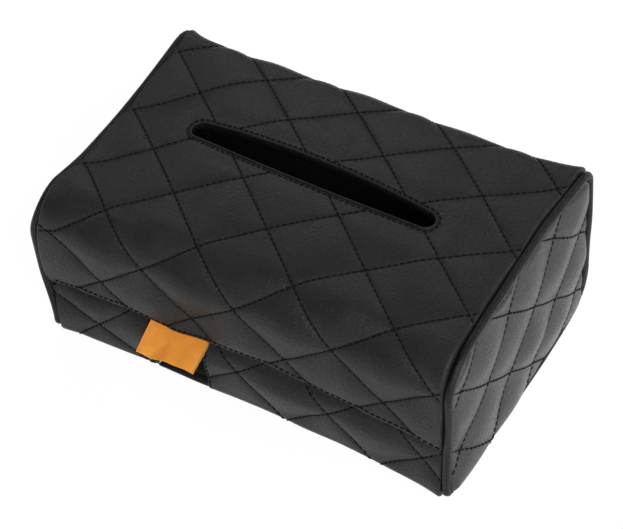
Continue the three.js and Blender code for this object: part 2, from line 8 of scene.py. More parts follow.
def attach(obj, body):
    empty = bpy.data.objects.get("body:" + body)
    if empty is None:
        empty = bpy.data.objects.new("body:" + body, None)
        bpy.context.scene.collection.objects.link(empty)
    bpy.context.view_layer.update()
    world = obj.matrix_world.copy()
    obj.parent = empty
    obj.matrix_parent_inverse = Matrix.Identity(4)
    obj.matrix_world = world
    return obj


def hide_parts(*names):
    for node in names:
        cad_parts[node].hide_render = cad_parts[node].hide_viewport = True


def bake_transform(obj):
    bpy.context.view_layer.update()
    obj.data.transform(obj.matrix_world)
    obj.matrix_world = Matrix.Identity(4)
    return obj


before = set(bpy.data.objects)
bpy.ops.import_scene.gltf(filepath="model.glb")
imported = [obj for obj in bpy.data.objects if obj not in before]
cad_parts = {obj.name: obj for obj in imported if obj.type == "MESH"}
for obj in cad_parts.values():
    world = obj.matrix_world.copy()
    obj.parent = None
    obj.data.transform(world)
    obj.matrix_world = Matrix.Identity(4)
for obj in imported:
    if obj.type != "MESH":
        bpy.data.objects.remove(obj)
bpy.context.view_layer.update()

# Grey board stiffeners
# Cut from 1.2 mm grey board and glued behind the top, the back, the base and the two ends, where they
# keep the soft box in shape. The base's and the ends' front edges stop short, so that no grey shows.
MM_PER_M = 1000
BOARD_GREY = (0.20, 0.185, 0.16, 1)
BOARD_FLECK = (0.30, 0.28, 0.25, 1)
BOARD_ROUGHNESS = 0.9
BOARD_FIBRE_MM = 1.4
BOARD_FIBRE_DEPTH_MM = 0.05
BOARD_FLECK_SPREAD = (0.45, 0.7)
BODY_DEPTH = 137.0
FRONT_HEIGHT = 85.0
BACK_HEIGHT = 96.0
BACK_LEAN = 3.0
FRONT_BOTTOM_RADIUS = 3.5
FRONT_TOP_RADIUS = 21.0
BACK_TOP_RADIUS = 7.0
BACK_BOTTOM_RADIUS = 13.0
TOP_CROWN = 7.5
WRAP_HALF = 110.1
BOARD_HALF = 106.3
BOARD_THICKNESS = 1.2
BOARD_TOP = 2.7
BOARD_MARGIN = 1.0
BASE_BOARD_SETBACK = 4.0
END_BOARD_OUTER = 107.8
END_BOARD_FRONT = 13.0
END_BOARD_GAP = 0.6
LAYER_GAP = 0.3
FRONT_LEAN = 3.6
FRONT_BOW = 4.7
FRONT_BOW_LEFT = 0.3
BACK_REACH = 2.2
BACK_DIP = 0.8
BACK_SKEW = 0.8
LEFT_OUT = 6.5
LEFT_OUT_LOW = 0.6
LEFT_OUT_TOP = 2.4
LEFT_SAG = 3.5
LEFT_SAG_Y = 2
LEFT_SAG_REACH = 52
RIGHT_END_Y = (-67, -20, 20, 66)
RIGHT_END_Z = (0, 30, 60, 92)
RIGHT_END_OUT = ((0.8, 1.8, 1.7, 0.3), (0.5, 1.6, 2.0, 2.9), (1.3, 1.2, 1.5, 3.6), (1.3, 0.5, 0.1, 2.6))
BOARD_DEPTH = 2.3
BOARD_STEP = 5.0
TOP_CLEARANCE = 0.2
UNDER_CLEARANCE = 1.0


def fill(tree, socket, value):
    """Links a value or another node's output to a socket, or sets the socket itself."""
    value = getattr(value, "socket", value)
    if isinstance(value, bpy.types.NodeSocket):
        tree.links.new(value, socket)
    else:
        socket.default_value = value


def socket_named(sockets, key):
    """The socket with a name, which is given without its spaces."""
    return next(s for s in sockets if s.name.replace(" ", "") == key)


def add_node(tree, kind, settings=None, *values, **named):
    """Adds a node: its settings first, then its sockets in order or by name. Returns its outputs."""
    node = tree.nodes.new(kind)
    for key, setting in (settings or {}).items():
        setattr(node, key, setting)
    shown = [s for s in node.inputs if s.enabled]
    for socket, value in zip(shown, values):
        fill(tree, socket, value)
    for key, value in named.items():
        fill(tree, socket_named(shown, key), value)
    return {s.name: s for s in node.outputs if s.enabled}


class Value:
    """A number's socket in a finish. Sums, differences and products of values add Math nodes."""

    def __init__(self, finish, socket):
        self.finish = finish
        self.socket = socket

    def math(self, operation, *others):
        return self.finish.node("ShaderNodeMath", {"operation": operation}, self, *others)["Value"]

    def __add__(self, other):
        return self.math("ADD", other)

    def __sub__(self, other):
        return self.math("SUBTRACT", other)

    def __rsub__(self, other):
        return self.finish.node("ShaderNodeMath", {"operation": "SUBTRACT"}, other, self)["Value"]

    def __mul__(self, other):
        return self.math("MULTIPLY", other)

    __radd__ = __add__
    __rmul__ = __mul__

    def most(self, other):
        return self.math("MAXIMUM", other)

    def ramp(self, low, high):
        """0 up to low, 1 from high on, and smooth between."""
        steps = {"interpolation_type": "SMOOTHSTEP"}
        return self.finish.node("ShaderNodeMapRange", steps, self, low, high)["Result"]


class Finish:
    """A material of nodes, with its Principled shader ready to take links and values."""

    def __init__(self, name):
        self.material = bpy.data.materials.new(name)
        self.material.use_nodes = True
        self.tree = self.material.node_tree
        self.shader = self.tree.nodes["Principled BSDF"]
        place = self.node("ShaderNodeTexCoord")["Object"]
        scaled = self.node("ShaderNodeVectorMath", {"operation": "SCALE"}, place, Scale=MM_PER_M)
        self.place = scaled["Vector"]

    def node(self, kind, settings=None, *values, **named):
        """Adds a node as add_node does, with its outputs as values."""
        outputs = add_node(self.tree, kind, settings, *values, **named)
        return {name: Value(self, socket) for name, socket in outputs.items()}

    def mix(self, share, low, high):
        """A colour between two colours."""
        return self.node("ShaderNodeMix", {"data_type": "RGBA"}, share, low, high)["Result"]

    def split(self, vector):
        """The three numbers of a vector."""
        return self.node("ShaderNodeSeparateXYZ", None, vector).values()

    def noise(self, size, detail=2):
        """Soft blotches about size millimetres across, from 0 to 1."""
        sockets = {"Vector": self.place, "Scale": 1 / size, "Detail": detail}
        return self.node("ShaderNodeTexNoise", {"noise_dimensions": "3D"}, **sockets)["Fac"]

    def cell_edges(self, size):
        """Distance from the edges of cells about size millimetres across, in shares of that size."""
        sockets = {"Vector": self.place, "Scale": 1 / size}
        return self.node("ShaderNodeTexVoronoi", {"feature": "DISTANCE_TO_EDGE"}, **sockets)["Distance"]

    def look(self, **sockets):
        for key, value in sockets.items():
            fill(self.tree, socket_named(self.shader.inputs, key), value)

    def bump(self, height_mm):
        """Raises the surface by a height in millimetres."""
        sockets = {"Height": height_mm, "Distance": 1 / MM_PER_M, "Strength": 1.0}
        self.look(Normal=self.node("ShaderNodeBump", None, **sockets)["Normal"])


class Route:
    """A path in the side view: straight runs joined by arcs, with the outside on its left."""

    def __init__(self, corners):
        self.pieces = []
        self.length = 0.0
        here = np.array(corners[0][:2], float)
        for before, corner, after in zip(corners, corners[1:], corners[2:] + [None]):
            heading = math.atan2(corner[1] - before[1], corner[0] - before[0])
            ahead = np.array([math.cos(heading), math.sin(heading)])
            end = np.array(corner[:2], float)
            turn = 0.0
            if after and len(corner) > 2:
                next_heading = math.atan2(after[1] - corner[1], after[0] - corner[0])
                turn = (next_heading - heading + math.pi) % (2 * math.pi) - math.pi
                end = end - ahead * corner[2] * math.tan(abs(turn) / 2)
            run = float(np.hypot(*(end - here)))
            self.pieces.append((self.length, run, here, heading, 0.0))
            self.length += run
            here = end
            if turn:
                side = math.copysign(1, turn)
                left = np.array([-ahead[1], ahead[0]])
                centre = end + side * corner[2] * left
                self.pieces.append((self.length, corner[2] * abs(turn), centre, heading, side * corner[2]))
                self.length += corner[2] * abs(turn)
                last = heading + turn
                here = centre + side * corner[2] * np.array([math.sin(last), -math.cos(last)])

    def start(self, number):
        return self.pieces[number][0]

    def at(self, along):
        """The point (y, z) at each distance along, and the outward direction there."""
        along = np.asarray(along, float)
        y, z, out_y, out_z = (np.zeros(along.shape) for _ in range(4))
        for number, (start, _, origin, heading, radius) in enumerate(self.pieces):
            here = along >= start if number else along > -math.inf
            step = along[here] - start
            angle = heading + (step / radius if radius else 0 * step)
            if radius:
                y[here] = origin[0] + radius * np.sin(angle)
                z[here] = origin[1] - radius * np.cos(angle)
            else:
                y[here] = origin[0] + step * np.cos(angle)
                z[here] = origin[1] + step * np.sin(angle)
            out_y[here] = -np.sin(angle)
            out_z[here] = np.cos(angle)
        return y, z, out_y, out_z


def box_route(front=-BODY_DEPTH / 2, foot=0.0, inset=0.0):
    """The box's side view: its front at a place, its foot at a height, its top and back drawn in."""
    return Route([
        (0, foot),
        (front, foot, FRONT_BOTTOM_RADIUS),
        (front, FRONT_HEIGHT - inset, FRONT_TOP_RADIUS),
        (BODY_DEPTH / 2 - BACK_LEAN - inset, BACK_HEIGHT - inset, BACK_TOP_RADIUS),
        (BODY_DEPTH / 2 - inset, foot, BACK_BOTTOM_RADIUS),
        (0, foot),
    ])


BOX_ROUTE = box_route()
FRONT_ARC, FOLD, TOP_END, BACK_START, BACK_END, WRAP_END = (BOX_ROUTE.start(n) for n in (3, 4, 5, 6, 7, 8))
TOP_ANGLE = BOX_ROUTE.pieces[4][3]
FOLD_Y, FOLD_Z = (float(v) for v in BOX_ROUTE.at(FOLD)[:2])


def smooth(share):
    """0 up to 0, 1 from 1 on, and smooth between."""
    share = np.clip(share, 0, 1)
    return share * share * (3 - 2 * share)


def ease(at, zero, one):
    """0 before one place, 1 beyond the other, and smooth between."""
    return smooth((at - zero) / (one - zero))


def crown(x, along, spread=0.0):
    """How far the soft top swells above its edges. A spread carries it on round the corners."""
    first = FOLD - spread * (FOLD - FRONT_ARC)
    last = TOP_END + spread * (BACK_START - TOP_END)
    middle = np.clip(2 * (along - first) / (last - first) - 1, -1, 1)
    across = np.clip(x / WRAP_HALF, -1, 1)
    return TOP_CROWN * (1 - across ** 2) * (1 - middle ** 2)


def between(table, row_places, column_places, row, column):
    """A table's value between its rows and columns, with no kinks where it passes from one to the next."""
    parts = []
    for places, at in ((row_places, row), (column_places, column)):
        at = np.interp(at, places, np.arange(len(places)))
        first = np.minimum(np.floor(at), len(places) - 2).astype(int)
        parts.append((first, smooth(at - first)))
    table = np.array(table)
    (i, up), (k, over) = parts
    low = table[i, k] * (1 - over) + table[i, k + 1] * over
    high = table[i + 1, k] * (1 - over) + table[i + 1, k + 1] * over
    return low * (1 - up) + high * up


def settle(points):
    """The soft box doesn't stand quite square. Its front leans out low down, its top reaches back, its
    left end is out at the front and sags on top, and its right end is out too, mostly high at the back."""
    x, y, z = points.T
    across = np.clip(x / WRAP_HALF, -1, 1)
    shift_x = ease(x, 60, 110) * between(RIGHT_END_OUT, RIGHT_END_Z, RIGHT_END_Y, z, y)
    out = LEFT_OUT_LOW + (LEFT_OUT - LEFT_OUT_LOW) * ease(z, 7, 41)
    out = out + (LEFT_OUT_TOP - LEFT_OUT) * ease(z, 60, 84)
    shift_x -= ease(-x, 103, 110) * ease(-y, 26, 64) * out
    reach = (BACK_REACH + BACK_DIP) * np.abs(across) ** 20 - BACK_DIP + BACK_SKEW * across
    shift_y = reach * ease(z, 45, 90) * ease(y, 42, 64)
    bow = FRONT_BOW * (1 - across ** 4) * (1 - FRONT_BOW_LEFT * ease(-x, 5, 30))
    lean = FRONT_LEAN * ease(z, 42, 0) - bow * ease(z, 26, 0)
    shift_y -= lean * ease(-y, 35, 65)
    lengthwise = np.clip(1 - ((y - LEFT_SAG_Y) / LEFT_SAG_REACH) ** 2, 0, 1)
    sag = LEFT_SAG * ease(-x, 60, 110) * ease(z, 45, 80) * lengthwise
    return np.stack([x + shift_x, y + shift_y, z - sag], 1)


def on_box(spread=0.0, route=BOX_ROUTE, depth=0.0):
    """Turns places on a flat panel, x and distance along a route, into points with a rise off it."""
    def place(x, along, rise):
        rise = rise - depth
        y, z, out_y, out_z = route.at(along)
        swell = crown(x, along, spread) if route is BOX_ROUTE else 0 * x
        y = y + rise * out_y - swell * math.sin(TOP_ANGLE)
        z = z + rise * out_z + swell * math.cos(TOP_ANGLE)
        return settle(np.stack([x, y, np.maximum(z, 0)], 1))
    return place


def in_scene(name, data):
    """A new object in the scene, made of a mesh, a lamp or a camera."""
    thing = bpy.data.objects.new(name, data)
    bpy.context.scene.collection.objects.link(thing)
    return thing


def new_piece(name, points, faces, finish, body=None):
    """A smooth mesh from points in millimetres. It rides on a body, if one is given."""
    mesh = bpy.data.meshes.new(name)
    mesh.from_pydata((np.asarray(points) / MM_PER_M).tolist(), [], [list(map(int, f)) for f in faces])
    mesh.polygons.foreach_set("use_smooth", [True] * len(mesh.polygons))
    mesh.materials.append(finish)
    mesh.update()
    piece = in_scene(name, mesh)
    if body:
        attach(piece, body)
    return piece


def stepped(corners, step):
    """A closed outline through corners, with points at most a step apart."""
    outline = []
    for first, last in zip(corners, corners[1:] + corners[:1]):
        first, last = np.array(first, float), np.array(last, float)
        count = max(1, math.ceil(np.hypot(*(last - first)) / step))
        outline += [first + (last - first) * i / count for i in range(count)]
    return np.array(outline)


def oblong(low_x, low_y, high_x, high_y, step):
    """A rectangle's outline, with points at most a step apart."""
    return stepped([(low_x, low_y), (high_x, low_y), (high_x, high_y), (low_x, high_y)], step)


def inside(places, outline):
    """How far each place lies inside a closed outline, in millimetres: less than zero outside."""
    x, y = places.T
    least = np.full(len(places), np.inf)
    odd = np.zeros(len(places), bool)
    for (x0, y0), (x1, y1) in zip(outline, np.roll(outline, -1, 0)):
        run_x, run_y = x1 - x0, y1 - y0
        share = np.clip(((x - x0) * run_x + (y - y0) * run_y) / (run_x ** 2 + run_y ** 2), 0, 1)
        least = np.minimum(least, (x - x0 - share * run_x) ** 2 + (y - y0 - share * run_y) ** 2)
        if run_y:
            odd ^= ((y0 > y) != (y1 > y)) & (x < x0 + (y - y0) * run_x / run_y)
    return np.where(odd, 1, -1) * np.sqrt(least)


def grid(outline, step):
    """Even places over an outline's box."""
    (low_x, low_y), (high_x, high_y) = outline.min(0), outline.max(0)
    across = np.arange(low_x + step / 2, high_x, step)
    up = np.arange(low_y + step / 2, high_y, step)
    return np.stack(np.meshgrid(across, up), -1).reshape(-1, 2)


def ring_edges(loops):
    """The edges of outlines, whose points are numbered one outline after the other."""
    edges = []
    first = 0
    for loop in loops:
        count = len(loop)
        edges += [(first + i, first + (i + 1) % count) for i in range(count)]
        first += count
    return edges


def triangles(loops, places):
    """Joins the points of an outline, its holes and the places between them into triangles."""
    points = np.concatenate([*loops, places])
    vectors = [Vector(p) for p in points.tolist()]
    found = geometry.delaunay_2d_cdt(vectors, ring_edges(loops), [], 2, 1e-6)
    kept = np.array([sources[0] for sources in found[3]])
    faces = kept[np.array(found[2])]
    for hole in loops[1:]:
        faces = faces[inside(points[faces].mean(1), hole) < 0]
    return points, faces


def is_clear(places, loops, margin):
    """Whether each place lies inside an outline and outside its holes, by more than a margin."""
    clear = inside(places, loops[0]) > margin
    for hole in loops[1:]:
        clear &= inside(places, hole) < -margin
    return clear


def panel(name, loops, places, place, rise, under_rise, finish, body=None, under_step=6.0, turned=False,
          quilt=None):
    """A closed sheet: an outline and holes on the flat, placed with a rise on top and one underneath."""
    loops = [loops[0], *(hole[::-1] for hole in loops[1:])]
    top, top_faces = triangles(loops, places[is_clear(places, loops, TOP_CLEARANCE)])
    under_places = grid(loops[0], under_step)
    under, under_faces = triangles(loops, under_places[is_clear(under_places, loops, UNDER_CLEARANCE)])
    faces = [*top_faces, *(under_faces[:, ::-1] + len(top))]
    faces += [(b, a, a + len(top), b + len(top)) for a, b in ring_edges(loops)]
    points = np.concatenate([
        place(top[:, 0], top[:, 1], rise(top)),
        place(under[:, 0], under[:, 1], under_rise(under)),
    ])
    if turned:
        faces = [f[::-1] for f in faces]
    piece = new_piece(name, points, faces, finish, body)
    if quilt:
        mark_quilt(piece, quilt, np.concatenate([top, under]))
    return piece


def at_depth(depth):
    """A level rise, below the face by a depth."""
    return lambda places: np.full(len(places), -float(depth))


def layer(name, loops, step, place, depth, thickness, finish, turned=False):
    """A plain sheet of even thickness, at a depth under the face it is placed on. It rides on the box."""
    return panel(
        name, loops, grid(loops[0], step), place, at_depth(depth), at_depth(depth + thickness), finish,
        "box", turned=turned,
    )


def flat_at(height):
    """Places on a level sheet, x and y, into points with a rise above a height."""
    def place(x, y, rise):
        return settle(np.stack([x, y, height + rise], 1))
    return place


def at_end(side, reach):
    """Places on an end, y and z, into points with a rise outwards off it."""
    def place(y, z, rise):
        return settle(np.stack([side * (reach + rise), y, z], 1))
    return place


def end_outline(depth, front=None, step=1.5):
    """The outline of an end, in from the box's route by a depth, with its front set back."""
    route = box_route() if front is None else box_route(front - depth)
    along = np.linspace(0, route.length, round(route.length / step), endpoint=False)
    y, z, out_y, out_z = route.at(along)
    return np.stack([y - depth * out_y, z - depth * out_z], 1)[::-1]


SLOT_LENGTH = 136.0
SLOT_WIDTH = 14.5
SLOT_END_RADIUS = 4.6
SLOT_CENTRE_Y = 3.5
SLOT_TILT = 1.0
SLOT_ALONG = FOLD + (SLOT_CENTRE_Y - FOLD_Y) / math.cos(TOP_ANGLE)
BINDING_WALL = 1.2


def slot_outline(grow, side_steps=60, end_steps=10):
    """A lens with round ends, grown outwards by a margin, on the flat panel."""
    half = SLOT_LENGTH / 2 - SLOT_END_RADIUS
    bulge = SLOT_WIDTH / 2 - SLOT_END_RADIUS
    reach = SLOT_END_RADIUS + grow
    outline = []
    for side in (-1, 1):
        for x in np.linspace(side * half, -side * half, side_steps + 1):
            outline.append((x, SLOT_ALONG + side * (reach + bulge * (1 - (x / half) ** 2))))
        for angle in np.linspace(side * math.pi / 2, (side / 2 + 1) * math.pi, end_steps + 1)[1:-1]:
            outline.append((-side * half + reach * math.cos(angle), SLOT_ALONG + reach * math.sin(angle)))
    outline = np.array(outline)
    outline[:, 1] -= SLOT_TILT * outline[:, 0] / half
    return outline


ENDS = {"right": 1, "left": -1}

grey_board = Finish("grey_board")
fibre = grey_board.noise(BOARD_FIBRE_MM, 4)
flecked = grey_board.mix(fibre.ramp(*BOARD_FLECK_SPREAD), BOARD_GREY, BOARD_FLECK)
grey_board.look(BaseColor=flecked, Roughness=BOARD_ROUGHNESS)
grey_board.bump(fibre * BOARD_FIBRE_DEPTH_MM)


def board(name, loops, place):
    """One board: its outline and holes, and where it goes."""
    piece = layer(
        f"{name}_sheet", loops, BOARD_STEP, place, 0, BOARD_THICKNESS, grey_board.material,
        turned="left" in name,
    )
    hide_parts(name)


def board_oblong(low, high):
    """The outline of a board that runs from end to end."""
    return oblong(-BOARD_HALF, low, BOARD_HALF, high, BOARD_STEP)


BASE_FRONT = -BODY_DEPTH / 2 + FRONT_BOTTOM_RADIUS + LAYER_GAP
BASE_BACK = float(BOX_ROUTE.at(WRAP_END)[0]) - LAYER_GAP
slot_hole = slot_outline(BINDING_WALL + LAYER_GAP, side_steps=30, end_steps=6)
board("base_board", [board_oblong(BASE_FRONT + BASE_BOARD_SETBACK, BASE_BACK)], flat_at(BOARD_TOP))
top_span = board_oblong(FOLD + BOARD_MARGIN, TOP_END - BOARD_MARGIN)
board("top_board", [top_span, slot_hole], on_box(depth=BOARD_DEPTH))
back_span = board_oblong(BACK_START + BOARD_MARGIN, BACK_END - BOARD_MARGIN)
board("back_board", [back_span], on_box(depth=BOARD_DEPTH))
end_board_outline = end_outline(BOARD_DEPTH + END_BOARD_GAP, END_BOARD_FRONT - BODY_DEPTH / 2, BOARD_STEP)
for name, side in ENDS.items():
    board(f"end_board_{name}", [end_board_outline], at_end(side, END_BOARD_OUTER))

# Cloth linings
# Thin black woven polyester, glued to the inside of the boards and sewn into the seams. The lining of
# the back and top runs on over the fold behind the front flap.
LINING_THICKNESS = 0.6
LINING_DEPTH = 3.8
FLAP_LINING_DEPTH = 2.3
LINING_FOLD_RUN = 8.0
LINING_HEM = 1.5
LINING_STEP = 6.0
BODY_LINING_STEP = 4.0
BASE_LINING_TOP = 3.6
END_LINING_OUTER = 106.3
LEATHER_THICKNESS = 2.0
FLAP_EDGE_HEIGHT = 34.0
LOWER_TOP_DEPTH = 5.8
CLOTH_PITCH_MM = 0.9
CLOTH_DEPTH_MM = 0.12
CLOTH_BLACK = (0.003, 0.003, 0.0033, 1)
CLOTH_SHEEN = 0.05
CLOTH_SHEEN_ROUGHNESS = 0.5
CLOTH_ROUGHNESS = 0.9
CLOTH_PALER = 2.2
CLOTH_BLOTCH_MM = 9.0
CLOTH_BLOTCH_SHARE = 0.5
CLOTH_WEAVE_SHARE = 0.2
INSIDE_DEPTH = LINING_DEPTH + LINING_THICKNESS + LAYER_GAP
INNER_FRONT = -BODY_DEPTH / 2 + LOWER_TOP_DEPTH + LEATHER_THICKNESS + LAYER_GAP


def cloth_finish(name, colour, pitch):
    cloth = Finish(name)
    x, y, z = cloth.split(cloth.place)
    turn = 2 * math.pi / pitch
    weave = (x * turn).math("SINE") * ((y + z) * turn).math("SINE")
    blotch = cloth.noise(CLOTH_BLOTCH_MM, 3)
    paler = tuple(CLOTH_PALER * c for c in colour[:3]) + (1,)
    share = blotch * CLOTH_BLOTCH_SHARE + weave * CLOTH_WEAVE_SHARE
    cloth.look(BaseColor=cloth.mix(share, colour, paler), Roughness=CLOTH_ROUGHNESS)
    cloth.look(SheenWeight=CLOTH_SHEEN, SheenRoughness=CLOTH_SHEEN_ROUGHNESS)
    cloth.bump(weave * CLOTH_DEPTH_MM)
    return cloth.material


def front_along(height):
    """The distance along the box's route at a height on its front face."""
    return FRONT_ARC - (BOX_ROUTE.at(FRONT_ARC)[1] - height)


def lining_rise(places):
    """The lining's rise, which is less deep behind the flap than behind the boards."""
    deep = smooth((places[:, 1] - FOLD) / LINING_FOLD_RUN)
    return -(FLAP_LINING_DEPTH + (LINING_DEPTH - FLAP_LINING_DEPTH) * deep)


def bend_at_fold(piece):
    """Bakes a piece's placing into its mesh. It doesn't bend the piece."""
    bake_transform(piece)


lining_cloth = cloth_finish("lining_cloth", CLOTH_BLACK, CLOTH_PITCH_MM)
lining_low = front_along(FLAP_EDGE_HEIGHT + LINING_HEM)
lining_span = oblong(-BOARD_HALF, lining_low, BOARD_HALF, WRAP_END, BODY_LINING_STEP)
body_lining = panel(
    "body_lining_cloth", [lining_span, slot_hole], grid(lining_span, BODY_LINING_STEP), on_box(),
    lining_rise, lambda places: lining_rise(places) - LINING_THICKNESS, lining_cloth,
)
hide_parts("body_lining", "flap_lining")
bend_at_fold(body_lining)

base_lining_outline = oblong(-BOARD_HALF, BASE_FRONT, BOARD_HALF, BASE_BACK, LINING_STEP)
base_lining = layer(
    "base_lining_cloth", [base_lining_outline], LINING_STEP, flat_at(BASE_LINING_TOP), 0,
    LINING_THICKNESS, lining_cloth,
)
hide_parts("base_lining")
end_lining_outline = end_outline(INSIDE_DEPTH, INNER_FRONT, LINING_STEP)
for name, side in ENDS.items():
    end_lining = layer(
        f"end_lining_cloth_{name}", [end_lining_outline], LINING_STEP, at_end(side, END_LINING_OUTER), 0,
        LINING_THICKNESS, lining_cloth, turned=side < 0,
    )
    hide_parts(f"end_lining_{name}")

# Low front panels
# Two quilted pieces of the same leather, sewn to the base and the ends, with a gap between them for a
# finger. Their tops step back behind the flap. Each has a cloth lining glued on behind.
LOWER_TOP_HEIGHT = 48.0
NOTCH_LOW = -52.5
NOTCH_HIGH = -22.5
INSIDE_HALF = 105.4
QUILT_WIDTH = 53.0
QUILT_HEIGHT = 42.0
STITCH_LANES = (0.0, 0.5, 1.1, 1.9, 3.0, 4.5, 6.5, 8.5, 10.5, 12.5, 14.5)
GROOVE_WIDTH = 1.7
GROOVE_DEPTH = 0.8
PILLOW_HEIGHT = 1.9
PILLOW_FULLNESS = 0.9
EDGE_RUN = 1.5
EDGE_DROP = 1.1
RIM_STEPS = (0.35, 0.8, 1.4, 2.2, 3.2)
RIM_CLEARANCE = 0.5
RIM_KEPT = 0.8
LOWER_LEAN = 1.2
LOWER_TUCK_START = 29.5
LOWER_TUCK_END = 38.0
LOWER_TUCK_RADIUS = 4.0
LOWER_FOOT_FLAT = 0.75
LOWER_FOOT_FILL = {"left": 0.8, "right": 1.3}
LOWER_FOOT_RUN = 11.0
LOWER_CROSSINGS = {"left": (-86.0, 14.0), "right": (-3.0, 23.0)}
LOWER_ACROSS = {"left": (54.0, 10.0), "right": (51.2, -1.4)}
LOWER_UP = {"left": (-6.0, 34.6), "right": (0.0, QUILT_HEIGHT)}
LOWER_ROLL = 0.8
LOWER_TUCK_EASE = 6.0
LOWER_FOOT_STEPS = (2.0, 0.6)
LOWER_UNEVEN = 0.25
NOTCH_STITCH_MARGIN = 2.2
OUTLINE_STEP = 1.2
LEATHER_BLACK = (0.0128, 0.0131, 0.0140, 1)
LEATHER_WORN = (0.0195, 0.0198, 0.0206, 1)
# Painted shade: this darker colour goes in the grain's gaps and in the grooves beside the stitch lines.
LEATHER_GROOVE_SHADE = (0.0050, 0.0050, 0.0055, 1)
LEATHER_ROUGHNESS = 0.37
LEATHER_SPECULAR = 0.27
LEATHER_BLOTCH_MM = 16.0
GRAIN_MM = 0.9
GRAIN_DEPTH_MM = 0.055
GRAIN_GAP_SHARE = 0.22
GRAIN_LAYERS = ((0.4, 0.5), (1.9, 6.0))
WORN_PATCHES = (0.3, 0.75)
BLOTCH_ROUGHNESS = 0.12
GROOVE_SHADE_MM = (0.3, 1.3)
GROOVE_SHADE_SHARE = 0.75
GROOVE_SHADE_ROUGHNESS = 0.18
PUCKER_DEPTH_MM = 0.07
PUCKER_REACH_MM = 2.4
STITCH_PITCH = 3.1
LINE_SLANT = 1.27
SEAM_MARGIN = 0.8
SEAM_LOWEST = 0.9
WAVE_COUNT = 7


def curl(off, run):
    """Rises from 0 at an edge to 1 a run away from it, steeply at first like a quarter circle."""
    return np.sqrt(1 - (1 - np.clip(off / run, 0, 1)) ** 2)


def with_rims(places, loops, steps):
    """Swaps the places near an outline and its holes for even rows that run alongside them."""
    kept = []
    for loop, side in zip(loops, [1] + [-1] * len(loops)):
        places = places[side * inside(places, loop) > steps[-1] + RIM_CLEARANCE]
        run = np.roll(loop, -1, 0) - np.roll(loop, 1, 0)
        inward = side * np.stack([-run[:, 1], run[:, 0]], 1) / np.hypot(*run.T)[:, None]
        for step in steps:
            row = loop + step * inward
            kept.append(row[side * inside(row, loop) > RIM_KEPT * step])
    rows = np.concatenate(kept)
    for loop, side in zip(loops, [1] + [-1] * len(loops)):
        rows = rows[side * inside(rows, loop) > TOP_CLEARANCE]
    return np.concatenate([places, rows])


class Quilt:
    """Diamond quilting on the flat: a crossing of two stitch lines, and the steps of one diamond."""

    def __init__(self, crossing, across=(QUILT_WIDTH, 0.0), up=(0.0, QUILT_HEIGHT)):
        self.crossing = np.array(crossing, float)
        steps = np.array([across, up], float).T
        self.turn = np.array([[1.0, -1.0], [1.0, 1.0]]) @ np.linalg.inv(steps)
        self.back = np.linalg.inv(self.turn)
        self.spacing = 1 / np.hypot(*self.turn.T)

    def counts(self, places):
        """How many stitch lines of each direction lie between a place and the crossing."""
        return (places - self.crossing) @ self.turn.T

    def places(self, counts):
        return counts @ self.back.T + self.crossing

    def cells(self, outline):
        low, high = outline.min(0), outline.max(0)
        corners = np.array([(x, y) for x in (low[0], high[0]) for y in (low[1], high[1])])
        counts = self.counts(corners)
        return np.floor(counts.min(0)).astype(int), np.ceil(counts.max(0)).astype(int)

    def lanes(self, outline):
        """Places for the mesh: rows beside each stitch line, close together near it."""
        low, high = self.cells(outline)
        rows = []
        for family in (0, 1):
            near = np.array(STITCH_LANES) / self.spacing[family]
            near = near[near < 0.47]
            share = np.concatenate([near, [0.5], 1 - near[:0:-1]])
            rows.append((np.arange(low[family], high[family])[:, None] + share).ravel())
        return self.places(np.stack(np.meshgrid(*rows), -1).reshape(-1, 2))

    def rise(self, places, pillow=PILLOW_HEIGHT, groove=GROOVE_DEPTH, second=1.0):
        """Foam pillows between stitch lines. The second direction's lines may pull in less."""
        counts = self.counts(places)
        off = np.abs(counts - np.round(counts))
        dip = 1 - np.exp(-off * self.spacing / GROOVE_WIDTH)
        swell = np.sin(np.pi * off) ** PILLOW_FULLNESS
        held = np.array([1.0, second])
        shares = 1 - held * (1 - dip)
        swells = 1 - held * (1 - swell)
        return groove * shares.prod(1) + pillow * swells.prod(1)

    def lines(self, loops, margin, step=1.0):
        """The stitch lines inside an outline and outside its holes, as runs of places."""
        low, high = self.cells(loops[0])
        found = []
        for family in (0, 1):
            other = 1 - family
            run = np.arange(low[other], high[other], step / self.spacing[other] / 1.3)
            for number in range(low[family], high[family] + 1):
                counts = np.empty((len(run), 2))
                counts[:, family] = number
                counts[:, other] = run
                found += runs_inside(self.places(counts), loops, margin)
        return found


def runs_inside(places, loops, margin):
    """The parts of a run of places that lie clear of an outline and its holes."""
    clear = is_clear(places, loops, margin)
    breaks = np.flatnonzero(np.diff(clear.astype(int))) + 1
    runs = np.split(places, breaks)
    return [run for run, kept in zip(runs, np.split(clear, breaks)) if kept[0] and len(run) > 3]


def waves(places, length, seed):
    """Gentle random swells about a length across, from about -1 to 1."""
    chance = np.random.default_rng(seed)
    result = np.zeros(len(places))
    for _ in range(WAVE_COUNT):
        angle, phase = chance.uniform(0, 2 * math.pi, 2)
        stretch = chance.uniform(0.7, 1.5)
        way = np.array([math.cos(angle), math.sin(angle)]) * 2 * math.pi / (length * stretch)
        result += np.sin(places @ way + phase)
    return result / math.sqrt(WAVE_COUNT)


def mark_quilt(piece, quilt, flat_places):
    """Keeps the stitch line counts on the mesh, for its finish."""
    counts = quilt.counts(flat_places)
    marks = piece.data.uv_layers.new(name="quilt")
    corners = np.empty(len(piece.data.loops), int)
    piece.data.loops.foreach_get("vertex_index", corners)
    marks.data.foreach_set("uv", counts[corners].ravel())


